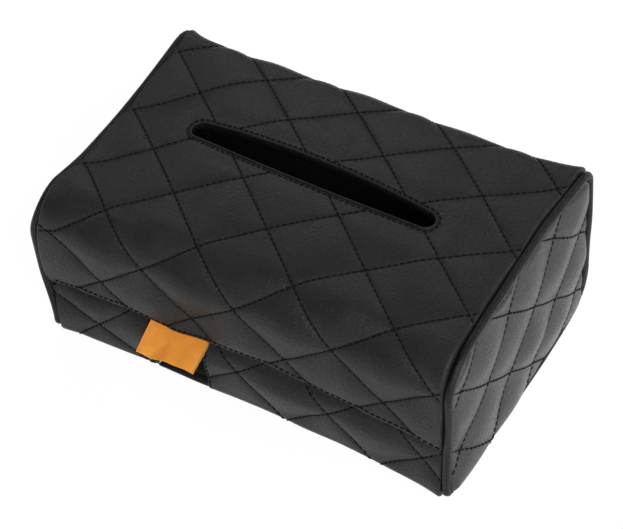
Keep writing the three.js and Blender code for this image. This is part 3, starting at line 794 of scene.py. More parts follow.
def leather_finish(name, quilt=None, black=LEATHER_BLACK, worn=LEATHER_WORN, roughness=LEATHER_ROUGHNESS,
                   specular=LEATHER_SPECULAR):
    leather = Finish(name)
    pebble = leather.cell_edges(GRAIN_MM).ramp(0.0, GRAIN_GAP_SHARE)
    blotch = leather.noise(LEATHER_BLOTCH_MM, 3)
    height = pebble * GRAIN_DEPTH_MM
    for size, depth in GRAIN_LAYERS:
        height = height + leather.noise(GRAIN_MM * size) * (GRAIN_DEPTH_MM * depth)
    # Painted shade: the colour darkens in the grain's gaps and, near each stitch line, in its groove.
    grain_and_groove_shade = 1 - pebble
    if quilt:
        p, q, _ = leather.split(leather.node("ShaderNodeUVMap", {"uv_map": "quilt"})["UV"])
        for count, other, width, run in ((p, q, *quilt.spacing), (q, p, *quilt.spacing[::-1])):
            off = count.math("PINGPONG", 0.5) * float(width)
            near = 1 - off.ramp(0.0, PUCKER_REACH_MM)
            along = other * float(run * LINE_SLANT * 2 * math.pi / STITCH_PITCH)
            height = height + near * near * along.math("SINE") * PUCKER_DEPTH_MM
            grain_and_groove_shade = grain_and_groove_shade.most(1 - off.ramp(*GROOVE_SHADE_MM))
    shade = leather.mix(blotch.ramp(*WORN_PATCHES), black, worn)
    leather.look(BaseColor=leather.mix(grain_and_groove_shade * GROOVE_SHADE_SHARE, shade, LEATHER_GROOVE_SHADE))
    uneven = blotch * BLOTCH_ROUGHNESS + (roughness - BLOTCH_ROUGHNESS / 2)
    leather.look(Roughness=grain_and_groove_shade * GROOVE_SHADE_ROUGHNESS + uneven)
    leather.look(SpecularIORLevel=specular)
    leather.bump(height)
    return leather.material


LOWER_ROUTE = Route([
    (0, 0),
    (-BODY_DEPTH / 2, 0, FRONT_BOTTOM_RADIUS),
    (-BODY_DEPTH / 2 + LOWER_LEAN, LOWER_TUCK_START, LOWER_TUCK_RADIUS),
    (-BODY_DEPTH / 2 + LOWER_TOP_DEPTH, LOWER_TUCK_END, LOWER_TUCK_RADIUS),
    (-BODY_DEPTH / 2 + LOWER_TOP_DEPTH, LOWER_TOP_HEIGHT),
])
LOWER_START = LOWER_ROUTE.start(1)
LOWER_FACE = LOWER_ROUTE.start(2)
LOWER_TUCK = LOWER_ROUTE.start(3)


def lower_along(height):
    """The distance along the low panels' route at a height on their face."""
    return LOWER_FACE + height - float(LOWER_ROUTE.at(LOWER_FACE)[1])


def lower_outline(low, high):
    """The piece between two places along the box: narrower where it stands between the end panels."""
    narrow = WRAP_HALF - LEATHER_THICKNESS - LAYER_GAP
    inner_low, inner_high = max(low, -narrow), min(high, narrow)
    corners = [(low, LOWER_START), (high, LOWER_START), (high, LOWER_TUCK), (inner_high, LOWER_TUCK)]
    corners += [(inner_high, LOWER_ROUTE.length), (inner_low, LOWER_ROUTE.length)]
    corners += [(inner_low, LOWER_TUCK), (low, LOWER_TUCK)]
    kept = [c for i, c in enumerate(corners) if c != corners[i - 1]]
    return stepped(kept, OUTLINE_STEP)


lower_spans = {"left": (-WRAP_HALF, NOTCH_LOW), "right": (NOTCH_HIGH, WRAP_HALF)}
seams = {"box": [], "wrap": []}


def keep_seam(group, places, place, rise):
    """Keeps a stitch line as points on the leather and the way up from it there."""
    here, above = (place(places[:, 0], places[:, 1], rise(places) + lift) for lift in (0, 1))
    up = above - here
    here[:, 2] = np.maximum(here[:, 2], SEAM_LOWEST)
    seams[group].append((here, up))


leather_under = at_depth(LEATHER_THICKNESS)
for name, (low, high) in lower_spans.items():
    cross_x, cross_z = LOWER_CROSSINGS[name]
    quilt = Quilt((cross_x, lower_along(cross_z)), LOWER_ACROSS[name], LOWER_UP[name])
    outline = lower_outline(low, high)
    free = low if name == "right" else high

    def lower_rise(places, quilt=quilt, free=free, name=name):
        """The panel's rise: pillows, flatter at the foot, none in the tuck or along its free edge."""
        x, along = places.T
        edge = curl(WRAP_HALF - np.abs(x), EDGE_RUN)
        tuck = smooth((LOWER_TUCK + LOWER_TUCK_EASE - along) / (2 * LOWER_TUCK_EASE))
        low_share = 1 - smooth((along - LOWER_FACE + 1) / LOWER_FOOT_RUN)
        puff = quilt.rise(places) * (1 - LOWER_FOOT_FLAT * low_share) + LOWER_FOOT_FILL[name] * low_share
        puff = puff * tuck * edge * smooth(np.abs(x - free) / EDGE_RUN) - EDGE_DROP * (1 - edge)
        roll = LOWER_ROLL * (1 - curl(np.abs(x - free), LEATHER_THICKNESS))
        return puff + LOWER_UNEVEN * waves(places, length=30, seed=11) * edge * tuck - roll

    finish = leather_finish(f"quilted_leather_lower_{name}", quilt)
    step_x, step_along = LOWER_FOOT_STEPS
    foot = np.mgrid[low:high:step_x, LOWER_START:LOWER_FACE + 1:step_along].reshape(2, -1).T
    lanes = with_rims(np.concatenate([quilt.lanes(outline), foot]), [outline], RIM_STEPS)
    place = on_box(route=LOWER_ROUTE)
    lower = panel(
        f"lower_front_leather_{name}", [outline], lanes, place, lower_rise, leather_under, finish, "box",
        quilt=quilt,
    )
    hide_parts(f"lower_front_{name}")
    for run in quilt.lines([outline], SEAM_MARGIN):
        keep_seam("box", run, place, lower_rise)
    hem = free + math.copysign(NOTCH_STITCH_MARGIN, low + high - 2 * free)
    hem_run = np.array([(hem, s) for s in np.arange(LOWER_START + 3, LOWER_ROUTE.length - 2)])
    keep_seam("box", hem_run, place, lower_rise)

    outline = oblong(
        max(low, -INSIDE_HALF), LOWER_FACE + FRONT_BOTTOM_RADIUS, min(high, INSIDE_HALF),
        LOWER_ROUTE.length, LINING_STEP,
    )
    lower_lining = layer(
        f"lower_lining_cloth_{name}", [outline], LINING_STEP, place, LEATHER_THICKNESS + LAYER_GAP,
        LINING_THICKNESS, lining_cloth,
    )
    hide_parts(f"lower_lining_{name}")

# Hook and loop tape
# Two strips of hook tape are sewn on the low front panels, either side of the finger gap, and two of
# loop tape behind the flap, where they meet when the box is shut.
TAPE_WIDTH = 8.5
TAPE_THICKNESS = 1.0
TAPE_TOP_MARGIN = 1.0
TAPE_END_MARGIN = 8.0
TAPE_NOTCH_MARGIN = 6.0
TAPE_BLACK = (0.010, 0.010, 0.011, 1)
TAPE_STEP = 1.5
TAPE_HOOK_MM = 1.1
TAPE_NAP = 0.12
LOOP_TAPE_DEPTH = FLAP_LINING_DEPTH + LINING_THICKNESS + LAYER_GAP

fastening_tape = cloth_finish("fastening_tape", TAPE_BLACK, TAPE_HOOK_MM)
tape_spans = {
    "left": (-INSIDE_HALF + TAPE_END_MARGIN, NOTCH_LOW - TAPE_NOTCH_MARGIN),
    "right": (NOTCH_HIGH + TAPE_NOTCH_MARGIN, INSIDE_HALF - TAPE_END_MARGIN),
}


def tape(name, body, place, low, high, start, depth):
    """A strip of tape with its pile standing on the side away from what it is sewn to."""
    outline = oblong(low, start, high, start + TAPE_WIDTH, TAPE_STEP)

    def pile(places):
        nap = TAPE_NAP * waves(places, length=2.4, seed=5)
        return nap * smooth(inside(places, outline)) - depth

    strip = panel(
        name + "_strip", [outline], grid(outline, TAPE_STEP), place, pile,
        at_depth(depth + TAPE_THICKNESS), fastening_tape, body,
    )
    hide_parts(name)


hook_start = LOWER_ROUTE.length - TAPE_TOP_MARGIN - TAPE_WIDTH
loop_start = front_along(LOWER_TOP_HEIGHT - TAPE_TOP_MARGIN) - TAPE_WIDTH
hook_depth = -LAYER_GAP - TAPE_THICKNESS
for name, (low, high) in tape_spans.items():
    tape(f"hook_tape_{name}", "box", on_box(route=LOWER_ROUTE), low, high, hook_start, hook_depth)
    tape(f"loop_tape_{name}", "flap", on_box(), low, high, loop_start, LOOP_TAPE_DEPTH)

# Base leather
# One plain piece under the base board. A tongue of it runs across the foot of the finger gap.
BASE_LEATHER_THICKNESS = 1.2
BASE_LEATHER_STEP = 4.0
TONGUE_SETBACK = 0.2

base_leather_finish = leather_finish("base_leather")
tongue_low, tongue_high = NOTCH_LOW + LAYER_GAP, NOTCH_HIGH - LAYER_GAP
tongue_front = -BODY_DEPTH / 2 + TONGUE_SETBACK
base_corners = [
    (-WRAP_HALF, BASE_FRONT), (tongue_low, BASE_FRONT), (tongue_low, tongue_front),
    (tongue_high, tongue_front), (tongue_high, BASE_FRONT), (WRAP_HALF, BASE_FRONT),
    (WRAP_HALF, BASE_BACK), (-WRAP_HALF, BASE_BACK),
]
base_leather = layer(
    "base_leather_sheet", [stepped(base_corners, BASE_LEATHER_STEP)], LINING_STEP,
    flat_at(BASE_LEATHER_THICKNESS), 0, BASE_LEATHER_THICKNESS, base_leather_finish,
)
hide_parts("base_panel")

# End panels
# Quilted leather over a board, sewn inside the piping. The diamonds are cut askew, the second
# direction's stitches pull in a little less, and the whole end swells outwards.
END_QUILT_ACROSS = (45.0, 8.0)
END_QUILT_UP = (0.0, 41.0)
END_CROSSING = (-12.0, 30.5)
END_EDGE_DEPTH = 2.4
END_PILLOW = 2.7
END_GROOVE = 0.3
END_EDGE_RUN = 4.0
END_SEAM_MARGIN = 2.0
END_ROUGHNESS = 0.24
END_SPECULAR = 0.66
END_SHALLOW = 0.7
END_BULGE = 3.9
END_BULGE_RIM = 0.55
END_BULGE_REST = 0.45
END_BULGE_RUN = 30.0
END_LOW_BULGE = 1.9
END_FOOT_PILLOW = 0.35
END_FOOT_BULGE = 2.0
END_EDGE_DROP = 0.8
END_UNEVEN = 0.3

end_quilt = Quilt(END_CROSSING, END_QUILT_ACROSS, END_QUILT_UP)
end_finish = leather_finish(
    "quilted_leather_end", end_quilt, roughness=END_ROUGHNESS, specular=END_SPECULAR,
)
end_edge = end_outline(END_EDGE_DEPTH)
end_places = with_rims(end_quilt.lanes(end_edge), [end_edge], RIM_STEPS)


def end_rise(places):
    """The end's rise: its pillows on a swell that is fuller low down, drawn in to the seam all round."""
    off_edge = inside(places, end_edge)
    edge = curl(off_edge, END_EDGE_RUN)
    swell = END_BULGE * (END_BULGE_RIM + END_BULGE_REST * smooth(off_edge / END_BULGE_RUN))
    foot = END_LOW_BULGE + END_FOOT_BULGE * ease(places[:, 0], 20, -60)
    low = foot * ease(places[:, 1], 26, 4)
    puff = end_quilt.rise(places, END_PILLOW, END_GROOVE, END_SHALLOW)
    puff = puff * (END_FOOT_PILLOW + (1 - END_FOOT_PILLOW) * ease(places[:, 1], 2, 24))
    uneven = END_UNEVEN * waves(places, length=34, seed=21)
    return (puff + swell + low + uneven) * edge - END_EDGE_DROP * (1 - edge)


for name, side in ENDS.items():
    place = at_end(side, WRAP_HALF)
    end = panel(
        f"end_leather_{name}", [end_edge], end_places, place, end_rise, leather_under,
        end_finish, "box", turned=side < 0, quilt=end_quilt,
    )
    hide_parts(f"end_panel_{name}")
    for run in end_quilt.lines([end_edge], END_SEAM_MARGIN):
        keep_seam("box", run, place, end_rise)

# Wrap
# One quilted sheet covers the back, the top and the rounded front edge, and hangs down the front as a
# flap. Its lower edge is turned in and topstitched, and it is cut away round the dispensing slot.
WRAP_CROSSING_X = -106.2
WRAP_CROSSING_FROM_BACK = 16.8
CORNER_SPREAD = 0.5
SHOULDER = 0.25
SHOULDER_RUN = 12.0
FLAP_RISE = 2.0
FLAP_ARCH = 3.4
FLAP_ARCH_X = 10.0
FLAP_ARCH_RUN = 26.0
FLAP_TAG_PULL = 1.9
FLAP_TAG_X = -37.0
FLAP_TAG_RUN = 11.0
FLAP_END_DROP = 5.0
FLAP_LIFT = 0.5
FLAP_LIFT_RUN = 9.0
FLAP_ROLL = 1.2
FLAP_THINNING = 0.7
FLAP_STITCH_MARGIN = 2.6
LEFT_OVERHANG = 0.9
LEFT_OVERHANG_LOW = 0.1
LEFT_OVERHANG_RUN = 14.0
LEFT_OVERHANG_FRONT = 42.0
LEFT_OVERHANG_BACK = 4.0
LEFT_TAIL = 3.9
TOP_PILLOW_SHARE = 0.45
HEM_RUN = 6.0
HEM_STITCH_STEP = 1.0
HEM_PILLOW_SHARE = 0.35
SLOT_RUN = 12.0
FRONT_PUFF_START = 8.0
FRONT_PUFF_RUN = 20.0
WRAP_UNEVEN = 0.45
WRAP_CREASED = 0.25
BASE_RUN = 8.0
SLOT_STITCH_MARGIN = 1.15
WRAP_SEAM_MARGIN = 1.8
HOLE_GAP = 0.2

back_corner = TOP_END + BACK_TOP_RADIUS * math.tan((BACK_START - TOP_END) / BACK_TOP_RADIUS / 2)
wrap_quilt = Quilt((WRAP_CROSSING_X, back_corner - WRAP_CROSSING_FROM_BACK))
wrap_finish = leather_finish("quilted_leather", wrap_quilt)


def flap_edge(x):
    """The distance along the box's route at the flap's lower edge, which isn't quite level."""
    arch = FLAP_ARCH * np.exp(-((x - FLAP_ARCH_X) / FLAP_ARCH_RUN) ** 2)
    pull = FLAP_TAG_PULL * np.exp(-((x - FLAP_TAG_X) / FLAP_TAG_RUN) ** 2)
    drop = FLAP_END_DROP * (np.abs(x) / WRAP_HALF) ** 6
    return front_along(FLAP_EDGE_HEIGHT) + FLAP_RISE + arch - pull - drop


wrap_x = np.linspace(-WRAP_HALF, WRAP_HALF, round(2 * WRAP_HALF / OUTLINE_STEP))
edge_run = np.stack([wrap_x, flap_edge(wrap_x)], 1)
edge_first, edge_last = tuple(edge_run[0]), tuple(edge_run[-1])
wrap_sides = stepped([edge_last, (WRAP_HALF, WRAP_END), (-WRAP_HALF, WRAP_END), edge_first], OUTLINE_STEP)
closing = len(stepped([edge_first, edge_last], OUTLINE_STEP)) // 2
wrap_edge = np.concatenate([edge_run[:-1], wrap_sides[:len(wrap_sides) - closing]])
slot_edge = slot_outline(BINDING_WALL + HOLE_GAP)


def wrap_rise(places):
    """The wrap's rise: pillows, slow unevenness, and drawn-in edges, with the flap's edge rolled in."""
    x, along = places.T
    off_side = WRAP_HALF - np.abs(x)
    side = curl(off_side, EDGE_RUN)
    off_edge = along - flap_edge(x)
    hem = HEM_PILLOW_SHARE + (1 - HEM_PILLOW_SHARE) * smooth(off_edge / HEM_RUN)
    mouth = smooth(-inside(places, slot_edge) / SLOT_RUN)
    share = smooth((FOLD + FRONT_PUFF_START - along) / FRONT_PUFF_RUN)
    share = TOP_PILLOW_SHARE + (1 - TOP_PILLOW_SHARE) * share
    puff = wrap_quilt.rise(places, PILLOW_HEIGHT * share) * side * hem * mouth
    uneven = WRAP_UNEVEN * waves(places, length=60, seed=3)
    uneven = uneven + WRAP_CREASED * waves(places, length=24, seed=4)
    soft = uneven * side * mouth
    soft = soft + SHOULDER * side * (1 - smooth((off_side - EDGE_RUN) / SHOULDER_RUN))
    turned = -FLAP_ROLL * (1 - curl(off_edge, FLAP_ROLL))
    lift = FLAP_LIFT * np.exp(-np.maximum(off_edge, 0) / FLAP_LIFT_RUN)
    base = smooth((WRAP_END - along) / BASE_RUN)
    return (puff + soft) * base - EDGE_DROP * (1 - side) + turned + lift


def wrap_under(places):
    """The underside, nearer the top along the flap's edge, where the leather is thinned and turned."""
    off_edge = np.maximum(places[:, 1] - flap_edge(places[:, 0]), 0)
    return FLAP_THINNING * np.exp(-off_edge / LEATHER_THICKNESS) - LEATHER_THICKNESS


def wrap_place(x, along, rise):
    """The wrap's place on the box. Along the top it rolls out over the left seam."""
    top = LEFT_OVERHANG_LOW + (1 - LEFT_OVERHANG_LOW) * smooth((along - FOLD + LEFT_OVERHANG_FRONT) / 40)
    top = top * smooth((BACK_START + LEFT_OVERHANG_BACK - along) / 12)
    out = smooth((-x - WRAP_HALF + LEFT_OVERHANG_RUN) / LEFT_OVERHANG_RUN)
    return on_box(CORNER_SPREAD)(x - LEFT_OVERHANG * out * top, along, rise)


wrap_loops = [wrap_edge, slot_edge]
wrap_places = with_rims(wrap_quilt.lanes(wrap_edge), wrap_loops, RIM_STEPS)
wrap = panel(
    "wrap_leather", wrap_loops, wrap_places, wrap_place, wrap_rise,
    wrap_under, wrap_finish, quilt=wrap_quilt, under_step=4.0,
)
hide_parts("main_panel", "front_flap")
bend_at_fold(wrap)
for run in wrap_quilt.lines(wrap_loops, WRAP_SEAM_MARGIN):
    run = run[(run[:, 0] > LEFT_TAIL - WRAP_HALF) | (run[:, 1] < FOLD - 5)]
    keep_seam("wrap", run, wrap_place, wrap_rise)
hem_x = np.arange(-WRAP_HALF + 4, WRAP_HALF - 2, HEM_STITCH_STEP)
keep_seam("wrap", np.stack([hem_x, flap_edge(hem_x) + FLAP_STITCH_MARGIN], 1), wrap_place, wrap_rise)
ring = slot_outline(BINDING_WALL + SLOT_STITCH_MARGIN)
keep_seam("wrap", np.concatenate([ring, ring[:1]]), wrap_place, wrap_rise)

# Slot binding
# A folded strip of smooth leather bound round the edge of the slot, through the leather, the board and
# the lining, with a rounded lip that stands a little proud.
BINDING_LIP = 0.55
BINDING_DEPTH = INSIDE_DEPTH + 0.1
BINDING_ROUND_STEPS = 7
BINDING_FOOT = 0.3
# Painted shade: the binding is coloured darker than the wrap's leather to stand for the shade on the slot's
# inside walls.
BINDING_SHADE_BLACK = (0.006, 0.006, 0.0065, 1)
BINDING_SHADE_WORN = (0.010, 0.010, 0.0105, 1)
BINDING_ROUGHNESS = 0.34

binding_finish = leather_finish("binding_leather_painted_shade", None, BINDING_SHADE_BLACK, BINDING_SHADE_WORN, BINDING_ROUGHNESS)


def tube(rings, closed=True):
    """Points and faces of a tube through rings of points. A closed one comes back to its first ring."""
    count, around = len(rings), len(rings[0])
    faces = []
    for i in range(count if closed else count - 1):
        here, ahead = i * around, (i + 1) % count * around
        for k in range(around):
            m = (k + 1) % around
            faces.append((here + k, here + m, ahead + m, ahead + k))
    return np.concatenate(rings), faces


middle = BINDING_WALL / 2
lip = [(0.0, -BINDING_DEPTH), (0.0, -BINDING_FOOT)]
for angle in np.linspace(math.pi, 0, BINDING_ROUND_STEPS):
    lip.append((middle + middle * math.cos(angle), BINDING_LIP * math.sin(angle)))
lip += [(BINDING_WALL, -BINDING_FOOT), (BINDING_WALL, -BINDING_DEPTH)]
binding_loops = []
inner_line = slot_outline(0)
outer_line = slot_outline(BINDING_WALL)
for grow, height in lip:
    line = inner_line + (outer_line - inner_line) * grow / BINDING_WALL
    binding_loops.append(wrap_place(line[:, 0], line[:, 1], np.full(len(line), height)))
binding = new_piece("slot_binding_lip", *tube(np.stack(binding_loops, 1)), binding_finish, "box")
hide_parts("slot_binding")

# Piping
# A smooth leather strip sewn round a soft cord, along the seam between the wrap and each end. It
# wrinkles a little where it turns the corners.
PIPING_RADIUS = 2.1
PIPING_PROUD = 1.1
PIPING_BITE = 0.1
PIPING_CENTRE_X = WRAP_HALF + PIPING_RADIUS - PIPING_BITE
PIPING_SINK = 0.6
PIPING_FLANGE = ((-3.6, -0.35), (-3.6, -0.65))
PIPING_SEAM_ANGLE = math.radians(200)
PIPING_OPENING = 0.15
PIPING_STEP = 0.8
PIPING_SIDES = 22
PIPING_WRINKLE = 0.10
PIPING_WRINKLE_LENGTH = 2.6
PIPING_WOBBLE = 0.05
PIPING_BLACK = (0.006, 0.0061, 0.0064, 1)
PIPING_WORN = (0.009, 0.0092, 0.0095, 1)
PIPING_ROUGHNESS = 0.30
PIPING_SPECULAR = 0.22
BEND_SPREAD = 13
CORD_RADIUS = 1.2
CORD_SIDES = 8
CORD_WHITE = (0.62, 0.60, 0.56, 1)
CORD_ROUGHNESS = 0.8
CORD_FIBRE_MM = 0.8
CORD_FIBRE_DEPTH_MM = 0.1

piping_finish = leather_finish(
    "piping_leather", None, PIPING_BLACK, PIPING_WORN, PIPING_ROUGHNESS, PIPING_SPECULAR,
)
piping_depth = PIPING_RADIUS - PIPING_PROUD
PIPING_ROUTE = box_route(-BODY_DEPTH / 2 + piping_depth, PIPING_RADIUS, piping_depth)
along = np.linspace(0, PIPING_ROUTE.length, round(PIPING_ROUTE.length / PIPING_STEP), endpoint=False)
y, z, out_y, out_z = PIPING_ROUTE.at(along)
bend = np.abs(np.gradient(np.unwrap(np.arctan2(out_z, out_y)), along))
bend = np.convolve(np.pad(bend, BEND_SPREAD // 2, "wrap"), np.ones(BEND_SPREAD) / BEND_SPREAD, "valid")
bend = bend * FRONT_TOP_RADIUS


def round_route(side, section):
    """A tube along the piping's route at one end, through pairs of reach and rise from its centre."""
    wobble = PIPING_WOBBLE * waves(np.stack([along, 0 * along], 1), length=31, seed=31 + side)
    sunk = PIPING_SINK * ease(out_z, 0.6, 1.0) if side < 0 else 0
    loops = []
    for reach, rise in section:
        rise = rise - sunk
        across = side * (PIPING_CENTRE_X + wobble + reach)
        loops.append(settle(np.stack([across, y + out_y * rise, np.maximum(z + out_z * rise, 0)], 1)))
    rings = np.stack(loops, 1)
    return tube(rings if side > 0 else rings[::-1])


def piping_section():
    """The tube's outline, wrinkled on the bends, and the flange that is sewn into the seam."""
    section = []
    for turn in np.linspace(PIPING_OPENING, 2 * math.pi - PIPING_OPENING, PIPING_SIDES):
        angle = PIPING_SEAM_ANGLE + turn
        folds = np.sin(2 * math.pi * along / PIPING_WRINKLE_LENGTH + 2 * angle)
        radius = PIPING_RADIUS - PIPING_WRINKLE * np.minimum(bend, 2) * np.maximum(folds, 0)
        section.append((radius * math.cos(angle), radius * math.sin(angle)))
    return section + list(PIPING_FLANGE)


cord_angles = np.arange(CORD_SIDES) * 2 * math.pi / CORD_SIDES
cord_section = [(CORD_RADIUS * math.cos(a), CORD_RADIUS * math.sin(a)) for a in cord_angles]
cord_finish = Finish("filler_cord")
cord_finish.look(BaseColor=CORD_WHITE, Roughness=CORD_ROUGHNESS)
cord_finish.bump(cord_finish.noise(CORD_FIBRE_MM) * CORD_FIBRE_DEPTH_MM)
for name, side in ENDS.items():
    piping = new_piece(f"piping_tube_{name}", *round_route(side, piping_section()), piping_finish, "box")
    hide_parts(f"piping_{name}")
    cord = new_piece(f"cord_{name}", *round_route(side, cord_section), cord_finish.material, "box")
    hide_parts(f"piping_cord_{name}")

# Pull tag
# A short length of plain orange satin ribbon, folded double and caught between the flap and its
# lining. It hangs down a little, and its free edge ripples.
TAG_WIDTH = 33.8
TAG_CENTRE_X = -36.5
TAG_REACH = 13.4
TAG_THICKNESS = 0.36
TAG_BELOW_EDGE = 0.9
TAG_STEPS = 90
TAG_FOLD_STEPS = 9
TAG_FOLD_GAP = 0.1
TAG_STIFF_REACH = 3
TAG_ROOT_HEIGHT = 7.0
TAG_DROOP = math.radians(25)
TAG_TURN_RADIUS = 1.6
TAG_ORANGE = (0.93, 0.32, 0.022, 1)
TAG_PALE = (0.98, 0.40, 0.045, 1)
TAG_ROUGHNESS = 0.42
TAG_SHEEN = 0.2
TAG_SHEEN_ROUGHNESS = 0.4
TAG_RIPPLES = ((0.7, 2.3, 0.6), (0.35, 5.1, 2.0))
TAG_TILT = 2.8
TAG_RIB_MM = 0.45
TAG_RIB_DEPTH_MM = 0.03
TAG_WARP_MM = 0.3
TAG_WARP_DEPTH_MM = 0.02
TAG_BLOTCH_MM = 6.0
TAG_PALE_PATCHES = (0.35, 0.8)

tag_root_y = -BODY_DEPTH / 2 + LOOP_TAPE_DEPTH + TAG_THICKNESS / 2
tag_low = FLAP_EDGE_HEIGHT - TAG_BELOW_EDGE
tag_gap = TAG_THICKNESS + TAG_FOLD_GAP
tag_fall = math.tan(TAG_DROOP)
tag_tip_y = -BODY_DEPTH / 2 - TAG_REACH
tag_tip_z = tag_low - (tag_root_y - tag_tip_y) * tag_fall
TAG_ROUTE = Route([
    (tag_root_y, tag_low + TAG_ROOT_HEIGHT),
    (tag_root_y, tag_low, TAG_TURN_RADIUS),
    (tag_tip_y, tag_tip_z, tag_gap / 2),
    (tag_tip_y, tag_tip_z - tag_gap, tag_gap / 2),
    (tag_root_y + tag_gap, tag_low - tag_gap - tag_gap * tag_fall, TAG_TURN_RADIUS),
    (tag_root_y + tag_gap, tag_low + TAG_ROOT_HEIGHT),
])
tag_steps = np.unique(np.concatenate([
    np.linspace(0, TAG_ROUTE.length, TAG_STEPS),
    np.linspace(TAG_ROUTE.start(3), TAG_ROUTE.start(6), TAG_FOLD_STEPS),
]))
tag_y, tag_z, tag_out_y, tag_out_z = TAG_ROUTE.at(tag_steps)
hang = np.clip((tag_root_y - TAG_STIFF_REACH - tag_y) / TAG_REACH, 0, 1) ** 1.3
tag_rings = []
for share in np.linspace(-0.5, 0.5, TAG_STEPS // 2):
    ripple = sum(rise * math.sin(count * math.pi * share + start) for rise, count, start in TAG_RIPPLES)
    ripple += TAG_TILT * share
    x = np.full(len(tag_y), TAG_CENTRE_X + TAG_WIDTH * share)
    sides = []
    for half in (TAG_THICKNESS / 2, -TAG_THICKNESS / 2):
        sides.append(np.stack([x, tag_y - half * tag_out_y, tag_z - half * tag_out_z + ripple * hang], 1))
    tag_rings.append(np.concatenate([sides[0], sides[1][::-1]]))
tag_finish = Finish("tag_ribbon")
tag_x, tag_across, _ = tag_finish.split(tag_finish.place)
rib = (tag_across * (2 * math.pi / TAG_RIB_MM)).math("SINE")
warp = (tag_x * (2 * math.pi / TAG_WARP_MM)).math("SINE")
fade = tag_finish.noise(TAG_BLOTCH_MM, 3).ramp(*TAG_PALE_PATCHES)
tag_finish.look(BaseColor=tag_finish.mix(fade, TAG_ORANGE, TAG_PALE), Roughness=TAG_ROUGHNESS)
tag_finish.look(SheenWeight=TAG_SHEEN, SheenRoughness=TAG_SHEEN_ROUGHNESS)
tag_finish.bump(rib * TAG_RIB_DEPTH_MM + warp * TAG_WARP_DEPTH_MM)
tag_points, tag_faces = tube(tag_rings, closed=False)
edge_count = len(tag_rings[0])
for first in (0, len(tag_points) - edge_count):
    for k in range(edge_count // 2 - 1):
        cap = (first + k, first + k + 1, first + edge_count - 2 - k, first + edge_count - 1 - k)
        tag_faces.append(cap[::-1] if first else cap)
tag = new_piece("tag_ribbon_piece", tag_points, tag_faces, tag_finish.material, "flap")
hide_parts("pull_tag")

# Stitching
# Black twisted polyester thread, a lockstitch about 3 mm long, along every quilting line, the flap's
# hem, the finger gap's hems and round the slot.
STITCH_LENGTH = 2.55
STITCH_RADIUS = 0.42
STITCH_SEED = 8
STITCH_LIFT = 0.16
STITCH_DIP = 0.45
STITCH_SIDES = 6
STITCH_SHARES = (-1.0, -0.85, -0.35, 0.35, 0.85, 1.0)
STITCH_WIDTHS = (0.25, 0.8, 1.0, 1.0, 0.8, 0.25)
STITCH_SLANT = 0.1
STITCH_INPUTS = {"Lines": "Geometry", "Stitch": "Object", "Pitch": "Float", "Slant": "Float", "Seed": "Int",
                 "Thread": "Material"}
THREAD_BLACK = (0.003, 0.003, 0.0035, 1)
THREAD_ROUGHNESS = 0.85
THREAD_SPECULAR = 0.15
THREAD_TWIST_MM = 0.35
THREAD_TWIST_DEPTH_MM = 0.06

thread = Finish("thread")
thread.look(BaseColor=THREAD_BLACK, Roughness=THREAD_ROUGHNESS, SpecularIORLevel=THREAD_SPECULAR)
thread.bump(thread.noise(THREAD_TWIST_MM) * THREAD_TWIST_DEPTH_MM)


def stitch_shape():
    """One stitch along X: a rounded dash that dips at both ends."""
    rings = []
    for share, width in zip(STITCH_SHARES, STITCH_WIDTHS):
        x = share * STITCH_LENGTH / 2
        dip = -STITCH_DIP * STITCH_RADIUS * share * share
        radius = STITCH_RADIUS * width
        angles = np.linspace(0, 2 * math.pi, STITCH_SIDES, endpoint=False)
        rings.append([(x, radius * math.cos(a), dip + radius * math.sin(a)) for a in angles])
    points, faces = tube(rings, closed=False)
    faces = [f[::-1] for f in faces]
    last = len(points) - 1
    faces += [tuple(range(STITCH_SIDES)), tuple(range(last, last - STITCH_SIDES, -1))]
    return new_piece("stitch_shape", points, faces, thread.material)


def stitch_tree():
    """Geometry nodes: even stitches along lines, turned to lie on the leather."""
    tree = bpy.data.node_groups.new("stitches", "GeometryNodeTree")
    for name, kind in STITCH_INPUTS.items():
        tree.interface.new_socket(name, in_out="INPUT", socket_type=f"NodeSocket{kind}")
    tree.interface.new_socket("Stitches", in_out="OUTPUT", socket_type="NodeSocketGeometry")

    def node(kind, settings=None, *values, **sockets):
        return add_node(tree, kind, settings, *values, **sockets)

    given = node("NodeGroupInput")
    curve = node("GeometryNodeMeshToCurve", Mesh=given["Lines"])["Curve"]
    pitch = {"Curve": curve, "Length": given["Pitch"]}
    even = node("GeometryNodeResampleCurve", {"mode": "LENGTH"}, **pitch)["Curve"]
    up = node("GeometryNodeInputNamedAttribute", {"data_type": "FLOAT_VECTOR"}, Name="up")["Attribute"]
    ahead = node("GeometryNodeInputTangent")["Tangent"]
    back = node("ShaderNodeMath", {"operation": "MULTIPLY"}, given["Slant"], -1.0)["Value"]
    chance = {"Min": back, "Max": given["Slant"], "Seed": given["Seed"]}
    slant = node("FunctionNodeRandomValue", {"data_type": "FLOAT"}, **chance)["Value"]
    twist = node("ShaderNodeCombineXYZ", Z=slant)["Vector"]
    align = "FunctionNodeAlignRotationToVector"
    upright = node(align, {"axis": "Z"}, Vector=up)["Rotation"]
    facing = node(align, {"axis": "X", "pivot_axis": "Z"}, Rotation=upright, Vector=ahead)["Rotation"]
    turn = {"Rotation": facing, "RotateBy": twist}
    turned = node("FunctionNodeRotateRotation", {"rotation_space": "LOCAL"}, **turn)["Rotation"]
    stitch = node("GeometryNodeObjectInfo", Object=given["Stitch"])["Geometry"]
    row = {"Points": even, "Instance": stitch, "Rotation": turned}
    placed = node("GeometryNodeInstanceOnPoints", **row)["Instances"]
    real = node("GeometryNodeRealizeInstances", Geometry=placed)["Geometry"]
    sewn = node("GeometryNodeSetMaterial", Geometry=real, Material=given["Thread"])["Geometry"]
    node("NodeGroupOutput", Stitches=sewn)
    return tree


